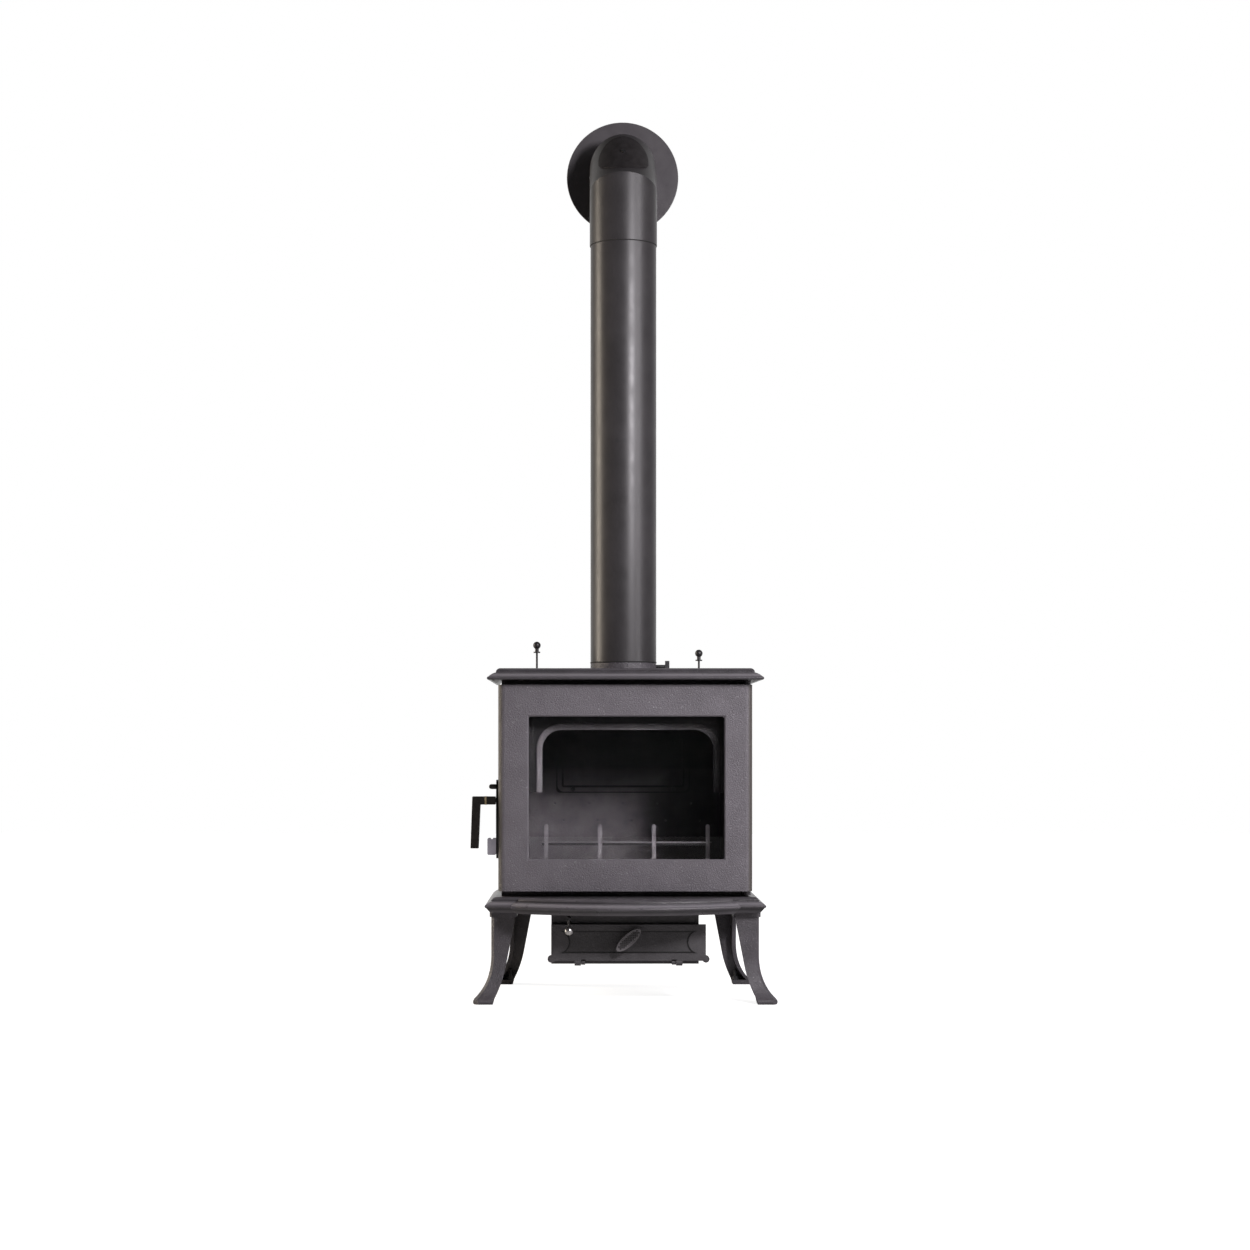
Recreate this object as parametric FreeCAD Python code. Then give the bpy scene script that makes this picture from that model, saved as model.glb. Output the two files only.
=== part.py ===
import FreeCAD, Part
import math
import os
from FreeCAD import Vector

# Cast iron wood stove on cabriole legs, with its flue pipe, elbow and wall rosette.
# Millimetres. The origin is on the floor, in the middle of the body; the door faces -Y and +Z is up.

# Running clearances
PIN_PLAY = 0.05
BOLT_PLAY = 0.05
SLIDE_PLAY = 0.3
HINGE_GAP = 1.0

# Cast body
BODY_HALF_WIDTH = 273.0
BODY_FRONT = -172.0
BODY_BACK = 190.0
WALL = 8.0
FRAME_THICKNESS = 12.0
LEG_HEIGHT = 200.0
BASE_HEIGHT = 34.0
BODY_HEIGHT = 494.0
PANEL_MARGIN = 42.0
PANEL_DEPTH = 2.0
PANEL_CORNER = 16.0

# Moulded edges of the top and base plates
TOP_EDGE_REACH = 29.0
TOP_EDGE_DROP = 26.0
TOP_FRONT_OVERHANG = 46.0
TOP_REAR_OVERHANG = 26.0
TOP_SKIRT = 8.0
BASE_EDGE_REACH = 25.0
BASE_EDGE_DROP = 23.0
BASE_UNDERCUT = 12.0
BASE_LEDGE = 10.0
BASE_FRONT_LEDGE = 31.0
BASE_REAR_LEDGE = 5.0
BEAD_REACH = 10.0
BEAD_DROP = 7.0
EDGE_STEP = 2.5
EDGE_NOSE = 7.0
EDGE_NOSE_ROUND = 3.0
EDGE_SWELL = 1.0
SEAT_PLAY = 3.0

# Bow-fronted ash lip of the base plate
LIP_INSET = 23.0
LIP_FRONT = -325.0
LIP_BOW_RADIUS = 480.0

# Legs
LEG_FRONT_OUTSET = 22.0
LEG_FRONT_CORNER_Y = 194.0
LEG_REAR_INSET = 7.0
LEG_REAR_CORNER_Y = 190.0
LEG_WALL = 9.0
LEG_CORNER_RADIUS = 8.0
LEG_CORNER_BEVEL = 6.0
LEG_TOP_WIDTH = 53.0
LEG_ANKLE_WIDTH = 32.0
LEG_TOE_WIDTH = 44.0
LEG_SOLE_WIDTH = 41.0
LEG_ANKLE_HEIGHT = 80.0
LEG_TOE_HEIGHT = 11.0
LEG_TOE_SPLAY = 36.0
LEG_SWEEP_TOP = 106.0
LEG_SWEEP_PULL = 45.0
LEG_TOE_NOSE = 2.5
LEG_CAP_HEIGHT = 11.0
LEG_CAP_REACH = 3.5
LEG_BOLT_RADIUS = 5.0
LEG_BOLT_DEPTH = 20.0
LEVEL_SCREW_RADIUS = 4.0
LEVEL_SCREW_LENGTH = 34.0
LEVEL_SCREW_INSET = 35.0
LEVEL_NUT_HEIGHT = 8.0

# Door
DOOR_OVERLAP = 6.0
DOOR_BOTTOM = 247.0
DOOR_TOP = 700.0
DOOR_FACE = -218.0
DOOR_REAR = -178.0
DOOR_SKIN = 10.0
DOOR_EDGE_RADIUS = 15.0
WINDOW_CENTRE = 2.5
WINDOW_SIDE = 64.5
WINDOW_BOTTOM = 317.0
WINDOW_TOP = 630.0
WINDOW_CORNER = 4.0
WINDOW_BEVEL = 2.5
GLASS_LAP = 9.0
GLASS_THICKNESS = 4.0
GASKET_THICKNESS = 2.0
GASKET_WIDTH = 8.0
CLIP_INSET = 84.5
CLIP_WIDTH = 24.0
CLIP_THICKNESS = 2.5
CLIP_SCREW_RADIUS = 2.5
CLIP_SCREW_OFFSET = 10.0
CLIP_SCREW_DEPTH = 9.0
CLIP_BOSS_RADIUS = 6.5
ROPE_LAND_INSET = 18.0
ROPE_LAND_WIDTH = 14.0
ROPE_LAND_REAR = -180.0
ROPE_WIDTH = 8.0
ROPE_DEPTH = 5.0
ROPE_CORNER = 18.0
HINGE_INSET = 11.0
HINGE_Y = -188.0
HINGE_PIN_RADIUS = 4.0
HINGE_LUG_RADIUS = 9.0
HINGE_PIN_IN_DOOR = 22.0
HINGE_LUG_HEIGHT = 9.0

# Door latch and lever handle
SPINDLE_Y = -190.0
SPINDLE_Z = 445.5
SPINDLE_RADIUS = 5.0
HANDLE_BAR = 18.0
HANDLE_REACH = 51.5
HANDLE_DROP = 105.5
HANDLE_SPLAY = 4.0
HANDLE_RING_INSET = 22.0
HANDLE_RING_WIDTH = 4.0
HANDLE_RING_DEPTH = 2.0
HANDLE_ROUND = 1.8
SPINDLE_SOCKET = 18.0
LATCH_PLATE_THICKNESS = 5.0
LATCH_PLATE_BOTTOM = 318.0
LATCH_PLATE_TOP = 491.0
LATCH_PLATE_HALF_DEPTH = 14.0
LATCH_STUD_Z = 476.0
LATCH_STUD_RADIUS = 5.5
LATCH_STUD_REACH = 16.0
LATCH_BLOCK_BOTTOM = 326.0
LATCH_BLOCK_TOP = 363.0
LATCH_BLOCK_REACH = 19.0
LATCH_BLOCK_HALF_DEPTH = 12.0
LATCH_BLOCK_ROUND = 3.0
CRANK_RADIUS = 12.0
CRANK_THICKNESS = 5.7
CRANK_WEB = 4.0
ROLLER_RADIUS = 4.0
ROLLER_LENGTH = 8.0
ROLLER_REST_ANGLE = -50.0
ROLLER_LATCHED_ANGLE = -30.0
KEEPER_THICKNESS = 6.0
KEEPER_LIP = 3.8
KEEPER_FLANGE_HEIGHT = 40.0
KEEPER_FLANGE = 3.0
KEEPER_SCREW_RADIUS = 1.75
KEEPER_HEAD_RADIUS = 3.0
KEEPER_SCREW_LOW = 0.5
KEEPER_SCREW_HIGH = 0.85
KEEPER_SCREW_DEPTH = 9.0

# Ash box, ash door and riddling gear
ASH_BOX_INSET = 110.0
ASH_BOX_BOTTOM = 84.0
ASH_BOX_REAR = 130.0
ASH_BOX_WALL = 4.0
ASH_BOX_FLANGE = 14.0
BOX_BOLT_RADIUS = 3.0
BOX_BOLT_DEPTH = 6.0
ASH_MOUTH_BOTTOM = 104.0
ASH_MOUTH_TOP = 162.0
ASH_MOUTH_INSET = 12.0
ASH_DOOR_CENTRE = 7.5
ASH_DOOR_LAP = 7.5
ASH_DOOR_BOTTOM = 92.0
ASH_DOOR_TOP = 172.0
ASH_DOOR_FACE = -190.0
ASH_DOOR_THICKNESS = 12.0
ASH_PANEL_INSET = 18.0
ASH_PANEL_BOTTOM = 109.0
ASH_PANEL_TOP = 158.0
ASH_PANEL_DEPTH = 3.0
ASH_PANEL_SCALLOP = 21.0
ASH_LOBE_RADIUS = 8.0
ASH_HINGE_INSET = 51.0
ASH_HINGE_Z = 88.0
ASH_KNUCKLE_RADIUS = 7.0
ASH_KNUCKLE_WIDTH = 14.0
ASH_EAR_WIDTH = 9.0
ASH_EAR_RADIUS = 5.0
ASH_PIN_RADIUS = 2.5
ASH_ROPE_WIDTH = 6.0
ASH_ROPE_MARGIN = 1.0
ASH_KNOB_Z = 140.0
ASH_KNOB_HALF_LENGTH = 34.5
ASH_KNOB_HALF_WIDTH = 13.0
ASH_KNOB_TILT = 42.0
ASH_KNOB_STAND = 13.0
ASH_KNOB_THICKNESS = 12.0
ASH_KNOB_RIM = 2.5
ASH_SHAFT_RADIUS = 4.0
ASH_LATCH_REACH = 25.0
ASH_LATCH_HALF_WIDTH = 3.0
ASH_LATCH_THICKNESS = 5.0
ASH_LATCH_GAP = 2.0
ASH_PAN_SIDE_GAP = 8.0
ASH_PAN_FRONT = -152.0
ASH_PAN_HEIGHT = 58.0
ASH_PAN_WALL = 2.0
ASH_PAN_GRIP = 40.0
RIDDLE_INSET = 40.0
RIDDLE_Z = 190.0
RIDDLE_ROD_RADIUS = 4.0
RIDDLE_FRONT = -265.0
RIDDLE_REAR = -50.0
RIDDLE_STROKE = 15.0
RIDDLE_BALL_RADIUS = 9.35
RIDDLE_BALL_DROP = 26.0
RIDDLE_STEM_RADIUS = 2.5
GRATE_INSET = 33.0
GRATE_FRONT = -100.0
GRATE_REAR = 90.0
GRATE_LAP = 18.0
GRATE_THICKNESS = 12.0
GRATE_SLOTS = 8
GRATE_SLOT_WIDTH = 9.0
SHAKER_LAP = 15.0
SHAKER_THICKNESS = 7.0
SHAKER_HANG = 12.0
SHAKER_LUG = 8.0
RAIL_THICKNESS = 4.0

# Firebox
LINER_THICKNESS = 18.0
LINER_SIDE_GAP = 19.0
LINER_AIR_GAP = 12.0
SMOKE_SPACE = 124.0
BAFFLE_THICKNESS = 12.0
BAFFLE_FRONT = -60.0
BAFFLE_UPTURN = 18.0
FIRE_DOORWAY_SIDE = 43.0
FIRE_DOORWAY_BOTTOM = 296.0
FIRE_DOORWAY_TOP = 650.0
FIRE_DOORWAY_CORNER = 24.0
ARCH_CENTRE = 6.5
ARCH_INSET = 28.5
ARCH_TOP = 613.0
ARCH_FOOT = 463.0
ARCH_STRIP = 12.0
ARCH_RADIUS = 55.0
ARCH_LIP = 5.0
ARCH_PLATE = 4.0
AIRWASH_LAP = 12.0
AIRWASH_SCREW_RADIUS = 2.0
AIRWASH_SCREW_DEPTH = 8.0
REAR_PLATE_INSET = 89.0
REAR_PLATE_BOTTOM = 455.0
REAR_PLATE_THICKNESS = 6.0
REAR_PLATE_RIM = 9.0
REAR_BOLT_RADIUS = 3.0
REAR_BOLT_DEPTH = 12.0
REAR_BOLT_INSET = 39.0
AIR_HOLE_RADIUS = 2.8
AIR_HOLE_ROWS = 2
AIR_HOLE_COLUMNS = 5
AIR_HOLE_PITCH = 80.0
AIR_HOLE_Z = 430.0
FENCE_Y = -132.0
FENCE_CENTRE = 5.0
FENCE_SIDE_GAP = 48.0
FENCE_UPRIGHTS = 4
FENCE_TOP = 391.0
FENCE_BAR_Z = 348.0
FENCE_BAR_HEIGHT = 8.0
FENCE_UPRIGHT_WIDTH = 9.0
FENCE_THICKNESS = 6.0
TIE_INSET = 11.0
TIE_FRONT = -125.0
TIE_REAR = 110.0
TIE_RADIUS = 4.0
TIE_BOSS_RADIUS = 9.0
TIE_BOSS_HEIGHT = 12.0
TIE_NUT_HEIGHT = 7.0

# Air controls on the back plate
AIR_ROD_Y = 203.0
AIR_ROD_RADIUS = 2.4
AIR_LEFT_INSET = 69.0
AIR_RIGHT_INSET = 92.0
AIR_LEFT_BALL = 804.0
AIR_RIGHT_BALL = 785.0
AIR_BALL_RADIUS = 9.0
AIR_COLLAR_RADIUS = 4.5
AIR_COLLAR_HEIGHT = 6.0
AIR_FLANGE_RADIUS = 8.0
AIR_FLANGE_HEIGHT = 3.0
AIR_ROD_LENGTH = 372.0
SHUTTER_HALF_WIDTH = 30.0
SHUTTER_HEIGHT = 60.0
SHUTTER_THICKNESS = 3.0
SHUTTER_LEFT_TRAVEL_DOWN = 45.0
SHUTTER_RIGHT_TRAVEL_DOWN = 27.0
SHUTTER_RIGHT_TRAVEL_UP = 18.0
GUIDE_WIDTH = 5.0
GUIDE_LIP = 4.0
AIR_PORT_HALF_WIDTH = 20.0
AIR_PORT_HEIGHT = 40.0

# Flue
FLUE_Y = 90.0
PIPE_RADIUS = 76.5
PIPE_WALL = 2.0
PIPE_TOP = 1728.0
PIPE_LAP = 40.0
COLLAR_HEIGHT = 22.0
COLLAR_BORE = 66.0
SPIGOT_HEIGHT = 44.0
SPIGOT_WALL = 4.0
SPIGOT_PLAY = 0.3
COLLAR_SCREWS = 3
COLLAR_SCREW_RADIUS = 2.0
COLLAR_SCREW_DEPTH = 14.0
DAMPER_HEIGHT = 14.0
DAMPER_RADIUS = 62.0
DAMPER_THICKNESS = 3.0
DAMPER_SPINDLE_RADIUS = 4.0
DAMPER_LEVER_RIM = 2.0
DAMPER_HUB_RADIUS = 7.0
DAMPER_HUB_HALF_LENGTH = 48.0
DAMPER_LEVER_X = 102.0
DAMPER_LEVER_WIDTH = 10.0
DAMPER_LEVER_RISE = 13.0
ELBOW_WALL = 1.4
ELBOW_PLAY = 0.3
ELBOW_RISE = 122.0
ELBOW_SLANT = 71.0
WALL_Y = 230.0
OUTLET_LENGTH = 95.0
OUTLET_SHOULDER = 2.0
OUTLET_SWAGE = 1.0
ROSETTE_RADIUS = 133.0
ROSETTE_THICKNESS = 2.5
ROSETTE_NECK = 8.0
SOOT_COVER_HALF_WIDTH = 60.0
SOOT_COVER_HALF_HEIGHT = 42.0
SOOT_COVER_THICKNESS = 1.5
SOOT_HOLE_MARGIN = 12.0
SOOT_SCREW_RADIUS = 5.0

# Heights and faces that follow from the sizes above
BASE_TOP = LEG_HEIGHT + BASE_HEIGHT
BASE_FLOOR = BASE_TOP - WALL
TOP_SEAT = BASE_TOP + BODY_HEIGHT
TOP_FACE = TOP_SEAT + WALL
FRAME_REAR = BODY_FRONT + FRAME_THICKNESS

# Widths that follow from the body's half width
LEG_FRONT_CORNER_X = BODY_HALF_WIDTH + LEG_FRONT_OUTSET
LEG_REAR_CORNER_X = BODY_HALF_WIDTH - LEG_REAR_INSET
LIP_HALF_WIDTH = BODY_HALF_WIDTH - LIP_INSET
DOOR_HALF_WIDTH = BODY_HALF_WIDTH + DOOR_OVERLAP
WINDOW_HALF_WIDTH = DOOR_HALF_WIDTH - WINDOW_SIDE
CLIP_OFFSET = WINDOW_HALF_WIDTH - CLIP_INSET
HINGE_X = DOOR_HALF_WIDTH - HINGE_INSET
ASH_BOX_HALF_WIDTH = BODY_HALF_WIDTH - ASH_BOX_INSET
ASH_DOOR_HALF_WIDTH = ASH_BOX_HALF_WIDTH + ASH_DOOR_LAP
ASH_HINGE_OFFSET = ASH_BOX_HALF_WIDTH - ASH_HINGE_INSET
RIDDLE_X = RIDDLE_INSET - ASH_BOX_HALF_WIDTH
GRATE_HALF_WIDTH = ASH_BOX_HALF_WIDTH - GRATE_INSET
SHAKER_HALF_WIDTH = GRATE_HALF_WIDTH + SHAKER_LAP
LINER_HALF_WIDTH = BODY_HALF_WIDTH - WALL - LINER_SIDE_GAP
FIRE_DOORWAY_HALF_WIDTH = BODY_HALF_WIDTH - FIRE_DOORWAY_SIDE
ARCH_HALF_WIDTH = FIRE_DOORWAY_HALF_WIDTH - ARCH_INSET
REAR_PLATE_HALF_WIDTH = LINER_HALF_WIDTH - REAR_PLATE_INSET
FENCE_HALF_SPAN = LINER_HALF_WIDTH - LINER_THICKNESS - FENCE_SIDE_GAP
FENCE_PITCH = 2 * FENCE_HALF_SPAN / (FENCE_UPRIGHTS - 1)
TIE_X = BODY_HALF_WIDTH - WALL - TIE_INSET
AIR_LEFT_X = AIR_LEFT_INSET - BODY_HALF_WIDTH
AIR_RIGHT_X = BODY_HALF_WIDTH - AIR_RIGHT_INSET
LINER_TOP = TOP_SEAT - SMOKE_SPACE
GLASS_FRONT = DOOR_FACE + DOOR_SKIN + GASKET_THICKNESS
GLASS_REAR = GLASS_FRONT + GLASS_THICKNESS
FIREBOX_HALF_WIDTH = LINER_HALF_WIDTH - LINER_THICKNESS
LINER_REAR = BODY_BACK - WALL - LINER_AIR_GAP
LINER_FACE = LINER_REAR - LINER_THICKNESS
ASH_HINGE_Y = ASH_DOOR_FACE + ASH_DOOR_THICKNESS / 2
ASH_DOOR_REAR = ASH_DOOR_FACE + ASH_DOOR_THICKNESS
DAMPER_Z = TOP_FACE + DAMPER_HEIGHT
ELBOW_RADIUS = PIPE_RADIUS + ELBOW_PLAY + ELBOW_WALL
ALONG_X = Vector(1, 0, 0)
ALONG_Y = Vector(0, 1, 0)
ALONG_Z = Vector(0, 0, 1)


def box(x0, x1, y0, y1, z0, z1):
    return Part.makeBox(x1 - x0, y1 - y0, z1 - z0, Vector(x0, y0, z0))


def rod(radius, start, direction, length):
    return Part.makeCylinder(radius, length, start, direction)


def hexagon(radius, start, direction, length):
    """A bolt head or nut: a hexagonal prism whose corners lie on the radius."""
    side = Vector(0, 0, 1) if abs(direction.z) < 0.5 else Vector(1, 0, 0)
    other = direction.cross(side)
    corners = []
    for number in range(7):
        turn = math.radians(60 * number)
        corners.append(start + side * (radius * math.cos(turn)) + other * (radius * math.sin(turn)))
    return Part.Face(Part.makePolygon(corners)).extrude(direction * length)


def fused(first, *others):
    return first.fuse(list(others)).removeSplitter()


def less(shape, *tools):
    return shape.cut(list(tools))


def rounded(shape, axis, radius):
    """Round the straight edges of a block that run along one axis."""
    chosen = []
    for edge in shape.Edges:
        run = edge.Vertexes[-1].Point - edge.Vertexes[0].Point
        if run.Length > 0 and abs(run.normalize().dot(axis)) > 0.999:
            chosen.append(edge)
    return shape.makeFillet(radius, chosen)


def rounded_block(axis, radius, x0, x1, y0, y1, z0, z1):
    return rounded(box(x0, x1, y0, y1, z0, z1), axis, radius)


def prism(corners, run):
    return Part.Face(Part.makePolygon(corners + [corners[0]])).extrude(run)


def wire_of(edges):
    return Part.Wire(Part.__sortEdges__(edges))


def line(start, end):
    return Part.LineSegment(start, end).toShape()


def arc(start, middle, end):
    return Part.Arc(start, middle, end).toShape()


def mirrored_x(shape):
    return shape.mirror(Vector(0, 0, 0), ALONG_X)


def moulded_edge(place, reach, drop, undercut, height):
    """Edge of a cast plate from its flat top down: bead, step, swell, rounded nose and undercut."""
    bead = place(BEAD_REACH, BEAD_DROP)
    bead_radius = (BEAD_REACH ** 2 + BEAD_DROP ** 2) / (2 * BEAD_DROP)
    half_turn = math.atan2(BEAD_REACH, bead_radius - BEAD_DROP) / 2
    crown = place(bead_radius * math.sin(half_turn), bead_radius * (1 - math.cos(half_turn)))
    step = place(BEAD_REACH, BEAD_DROP + EDGE_STEP)
    nose_back = reach - EDGE_NOSE_ROUND
    nose_top = place(nose_back, drop - EDGE_NOSE)
    nose_foot = place(nose_back, drop)
    swell_out = (BEAD_REACH + nose_back) / 2 + EDGE_SWELL
    swell_down = (BEAD_DROP + EDGE_STEP + drop - EDGE_NOSE) / 2 - EDGE_SWELL
    edges = [arc(place(0, 0), crown, bead), line(bead, step)]
    edges.append(arc(step, place(swell_out, swell_down), nose_top))
    edges.append(arc(nose_top, place(reach, drop - EDGE_NOSE / 2), nose_foot))
    if height > drop:
        edges.append(line(nose_foot, place(reach - undercut, height)))
    return edges


def moulded_section(point, low, high, top, edge, low_plain=False, high_plain=False):
    """Section of a plate whose flat top runs from low to high, moulded or plain at each end."""
    reach, drop, undercut, height = edge
    sides = []
    feet = []
    for end, sign, plain in ((low, -1, low_plain), (high, 1, high_plain)):
        if plain:
            feet.append(point(end, top - height))
            sides.append(line(point(end, top), feet[-1]))
        else:
            feet.append(point(end + sign * (reach - undercut), top - height))
            sides += moulded_edge(lambda out, down: point(end + sign * out, top - down), *edge)
    sides.append(line(point(low, top), point(high, top)))
    sides.append(line(*feet))
    return Part.Face(wire_of(sides))


def top_plate():
    edge = (TOP_EDGE_REACH, TOP_EDGE_DROP, EDGE_NOSE_ROUND, TOP_EDGE_DROP)
    front = BODY_FRONT - TOP_FRONT_OVERHANG
    rear = BODY_BACK + TOP_REAR_OVERHANG
    tip = BODY_HALF_WIDTH + TOP_EDGE_REACH
    front_tip = front - TOP_EDGE_REACH
    low = TOP_FACE - TOP_EDGE_DROP
    across = moulded_section(lambda s, z: Vector(s, front_tip, z),
                             -BODY_HALF_WIDTH, BODY_HALF_WIDTH, TOP_FACE, edge)
    along = moulded_section(lambda s, z: Vector(-tip, s, z), front, rear, TOP_FACE, edge, high_plain=True)
    depth = rear - front_tip
    plate = across.extrude(ALONG_Y * depth).common(along.extrude(ALONG_X * (2 * tip)))
    seat = BODY_HALF_WIDTH + SEAT_PLAY
    mouth = tip - TOP_SKIRT
    across = [Vector(-seat, front_tip, TOP_SEAT), Vector(seat, front_tip, TOP_SEAT),
              Vector(mouth, front_tip, low), Vector(-mouth, front_tip, low)]
    along = [Vector(-tip, front - SEAT_PLAY, TOP_SEAT), Vector(-tip, rear, TOP_SEAT),
             Vector(-tip, rear, low), Vector(-tip, front_tip + TOP_SKIRT, low)]
    hollow = prism(across, ALONG_Y * depth).common(prism(along, ALONG_X * (2 * tip)))
    plate = less(plate, hollow)
    bosses = []
    holes = [rod(COLLAR_BORE, Vector(0, FLUE_Y, low), ALONG_Z, TOP_EDGE_DROP)]
    for x, y in tie_places():
        foot = Vector(x, y, TOP_SEAT - TIE_BOSS_HEIGHT)
        bosses.append(rod(TIE_BOSS_RADIUS, foot, ALONG_Z, TIE_BOSS_HEIGHT))
        holes.append(rod(TIE_RADIUS + BOLT_PLAY, foot, ALONG_Z, TIE_BOSS_HEIGHT))
    for x in (AIR_LEFT_X, AIR_RIGHT_X):
        holes.append(rod(AIR_ROD_RADIUS + PIN_PLAY, Vector(x, AIR_ROD_Y, low), ALONG_Z, TOP_EDGE_DROP))
    for place in collar_screw_places():
        holes.append(rod(COLLAR_SCREW_RADIUS + BOLT_PLAY, place - ALONG_Z * WALL, ALONG_Z, WALL))
    return less(fused(plate, *bosses), *holes)


def tie_places():
    return [(side * TIE_X, y) for side in (-1, 1) for y in (TIE_FRONT, TIE_REAR)]


def tie_rods():
    """Studs that draw the top plate down on to the body, with a nut under the base plate."""
    studs = []
    for x, y in tie_places():
        foot = BASE_FLOOR - TIE_NUT_HEIGHT
        stud = rod(TIE_RADIUS, Vector(x, y, foot), ALONG_Z, TOP_SEAT - foot - HINGE_GAP)
        studs.append(fused(stud, hexagon(2 * TIE_RADIUS, Vector(x, y, foot), ALONG_Z, TIE_NUT_HEIGHT)))
    return Part.makeCompound(studs)


def base_edge():
    return (BASE_EDGE_REACH, BASE_EDGE_DROP, BASE_UNDERCUT, BASE_HEIGHT)


def bow_lip():
    """Ash lip: the plate's moulded edge turned about a distant upright axis, with moulded ends."""
    centre_y = LIP_FRONT + LIP_BOW_RADIUS
    section = moulded_section(lambda s, z: Vector(0, centre_y - s, z), centre_y - BODY_FRONT,
                              LIP_BOW_RADIUS - BASE_EDGE_REACH, BASE_TOP, base_edge(), low_plain=True)
    pivot = Vector(0, centre_y, 0)
    bow = section.rotated(pivot, ALONG_Z, -90).revolve(pivot, ALONG_Z, 180)
    flat = LIP_HALF_WIDTH - BASE_EDGE_REACH
    ends = moulded_section(lambda s, z: Vector(s, LIP_FRONT, z), -flat, flat, BASE_TOP, base_edge())
    return bow.common(ends.extrude(ALONG_Y * (BODY_FRONT - LIP_FRONT)))


def base_plate():
    half_flat = BODY_HALF_WIDTH + BASE_LEDGE
    front = BODY_FRONT - BASE_FRONT_LEDGE
    rear = BODY_BACK + BASE_REAR_LEDGE
    tip = half_flat + BASE_EDGE_REACH
    front_tip = front - BASE_EDGE_REACH
    across = moulded_section(lambda s, z: Vector(s, front_tip, z), -half_flat, half_flat, BASE_TOP,
                             base_edge())
    along = moulded_section(lambda s, z: Vector(-tip, s, z), front, rear, BASE_TOP, base_edge())
    depth = rear + BASE_EDGE_REACH - front_tip
    slab = across.extrude(ALONG_Y * depth).common(along.extrude(ALONG_X * (2 * tip)))
    plate = slab.fuse(bow_lip())
    inner = half_flat - WALL
    hollow = box(-inner, inner, front + WALL, rear - WALL, LEG_HEIGHT, BASE_FLOOR)
    lip_inner = LIP_HALF_WIDTH - BASE_EDGE_REACH - WALL
    lip_radius = LIP_BOW_RADIUS - BASE_EDGE_REACH - WALL
    lip_hollow = rod(lip_radius, Vector(0, LIP_FRONT + LIP_BOW_RADIUS, LEG_HEIGHT), ALONG_Z,
                     BASE_HEIGHT - WALL)
    reach = box(-lip_inner, lip_inner, LIP_FRONT, front + WALL, LEG_HEIGHT, BASE_FLOOR)
    plate = less(plate, hollow, lip_hollow.common(reach))
    bosses = []
    holes = [box(-GRATE_HALF_WIDTH, GRATE_HALF_WIDTH, GRATE_FRONT, GRATE_REAR, LEG_HEIGHT, BASE_TOP)]
    half = LEG_TOP_WIDTH / 2
    for x, y in leg_centres():
        bosses.append(box(x - half, x + half, y - half, y + half, LEG_HEIGHT, BASE_FLOOR))
        holes.append(rod(LEG_BOLT_RADIUS + BOLT_PLAY, Vector(x, y, LEG_HEIGHT), ALONG_Z, LEG_BOLT_DEPTH))
    for x, y in tie_places():
        holes.append(rod(TIE_RADIUS + BOLT_PLAY, Vector(x, y, LEG_HEIGHT), ALONG_Z, BASE_HEIGHT))
    for x, y in ash_box_bolt_places():
        holes.append(rod(BOX_BOLT_RADIUS + BOLT_PLAY, Vector(x, y, BASE_FLOOR), ALONG_Z, BOX_BOLT_DEPTH))
    return less(fused(plate, *bosses), *holes)


def leg_corners():
    """Outer corner of each leg, with the side of the stove it stands on."""
    front = [(side, -1, LEG_FRONT_CORNER_X, LEG_FRONT_CORNER_Y) for side in (-1, 1)]
    rear = [(side, 1, LEG_REAR_CORNER_X, LEG_REAR_CORNER_Y) for side in (-1, 1)]
    return front + rear


def leg_centres():
    half = LEG_TOP_WIDTH / 2
    return [(side * (x - half), end * (y - half)) for side, end, x, y in leg_corners()]


def curve(start, pull, end):
    """Smooth curve that leaves its start towards the pull point and arrives at its end from there."""
    bend = Part.BezierCurve()
    bend.setPoles([start, pull, end])
    return bend.toShape()


def leg_face(at):
    """Outline of one face of a leg: tapered to the ankle, then swept out to the toe."""
    cap_foot = LEG_HEIGHT - LEG_CAP_HEIGHT
    toe = LEG_TOE_SPLAY
    taper = (LEG_TOP_WIDTH - LEG_ANKLE_WIDTH) / (cap_foot - LEG_ANKLE_HEIGHT)
    ankle = at(-LEG_ANKLE_WIDTH, LEG_ANKLE_HEIGHT)
    pull = at(taper * (LEG_ANKLE_HEIGHT - LEG_SWEEP_PULL) - LEG_ANKLE_WIDTH, LEG_SWEEP_PULL)
    heel = at(toe - LEG_TOE_WIDTH, LEG_TOE_HEIGHT)
    sole_heel = at(toe - LEG_SOLE_WIDTH, 0)
    edges = [line(at(0, cap_foot), at(0, LEG_SWEEP_TOP)),
             curve(at(0, LEG_SWEEP_TOP), at(0, LEG_SWEEP_PULL), at(toe, LEG_TOE_HEIGHT)),
             arc(at(toe, LEG_TOE_HEIGHT), at(toe + LEG_TOE_NOSE, LEG_TOE_HEIGHT / 2), at(toe, 0)),
             line(at(toe, 0), sole_heel),
             line(sole_heel, heel),
             curve(heel, pull, ankle),
             line(ankle, at(-LEG_TOP_WIDTH, cap_foot)),
             line(at(-LEG_TOP_WIDTH, cap_foot), at(0, cap_foot))]
    return Part.Face(Part.Wire(edges))


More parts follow.
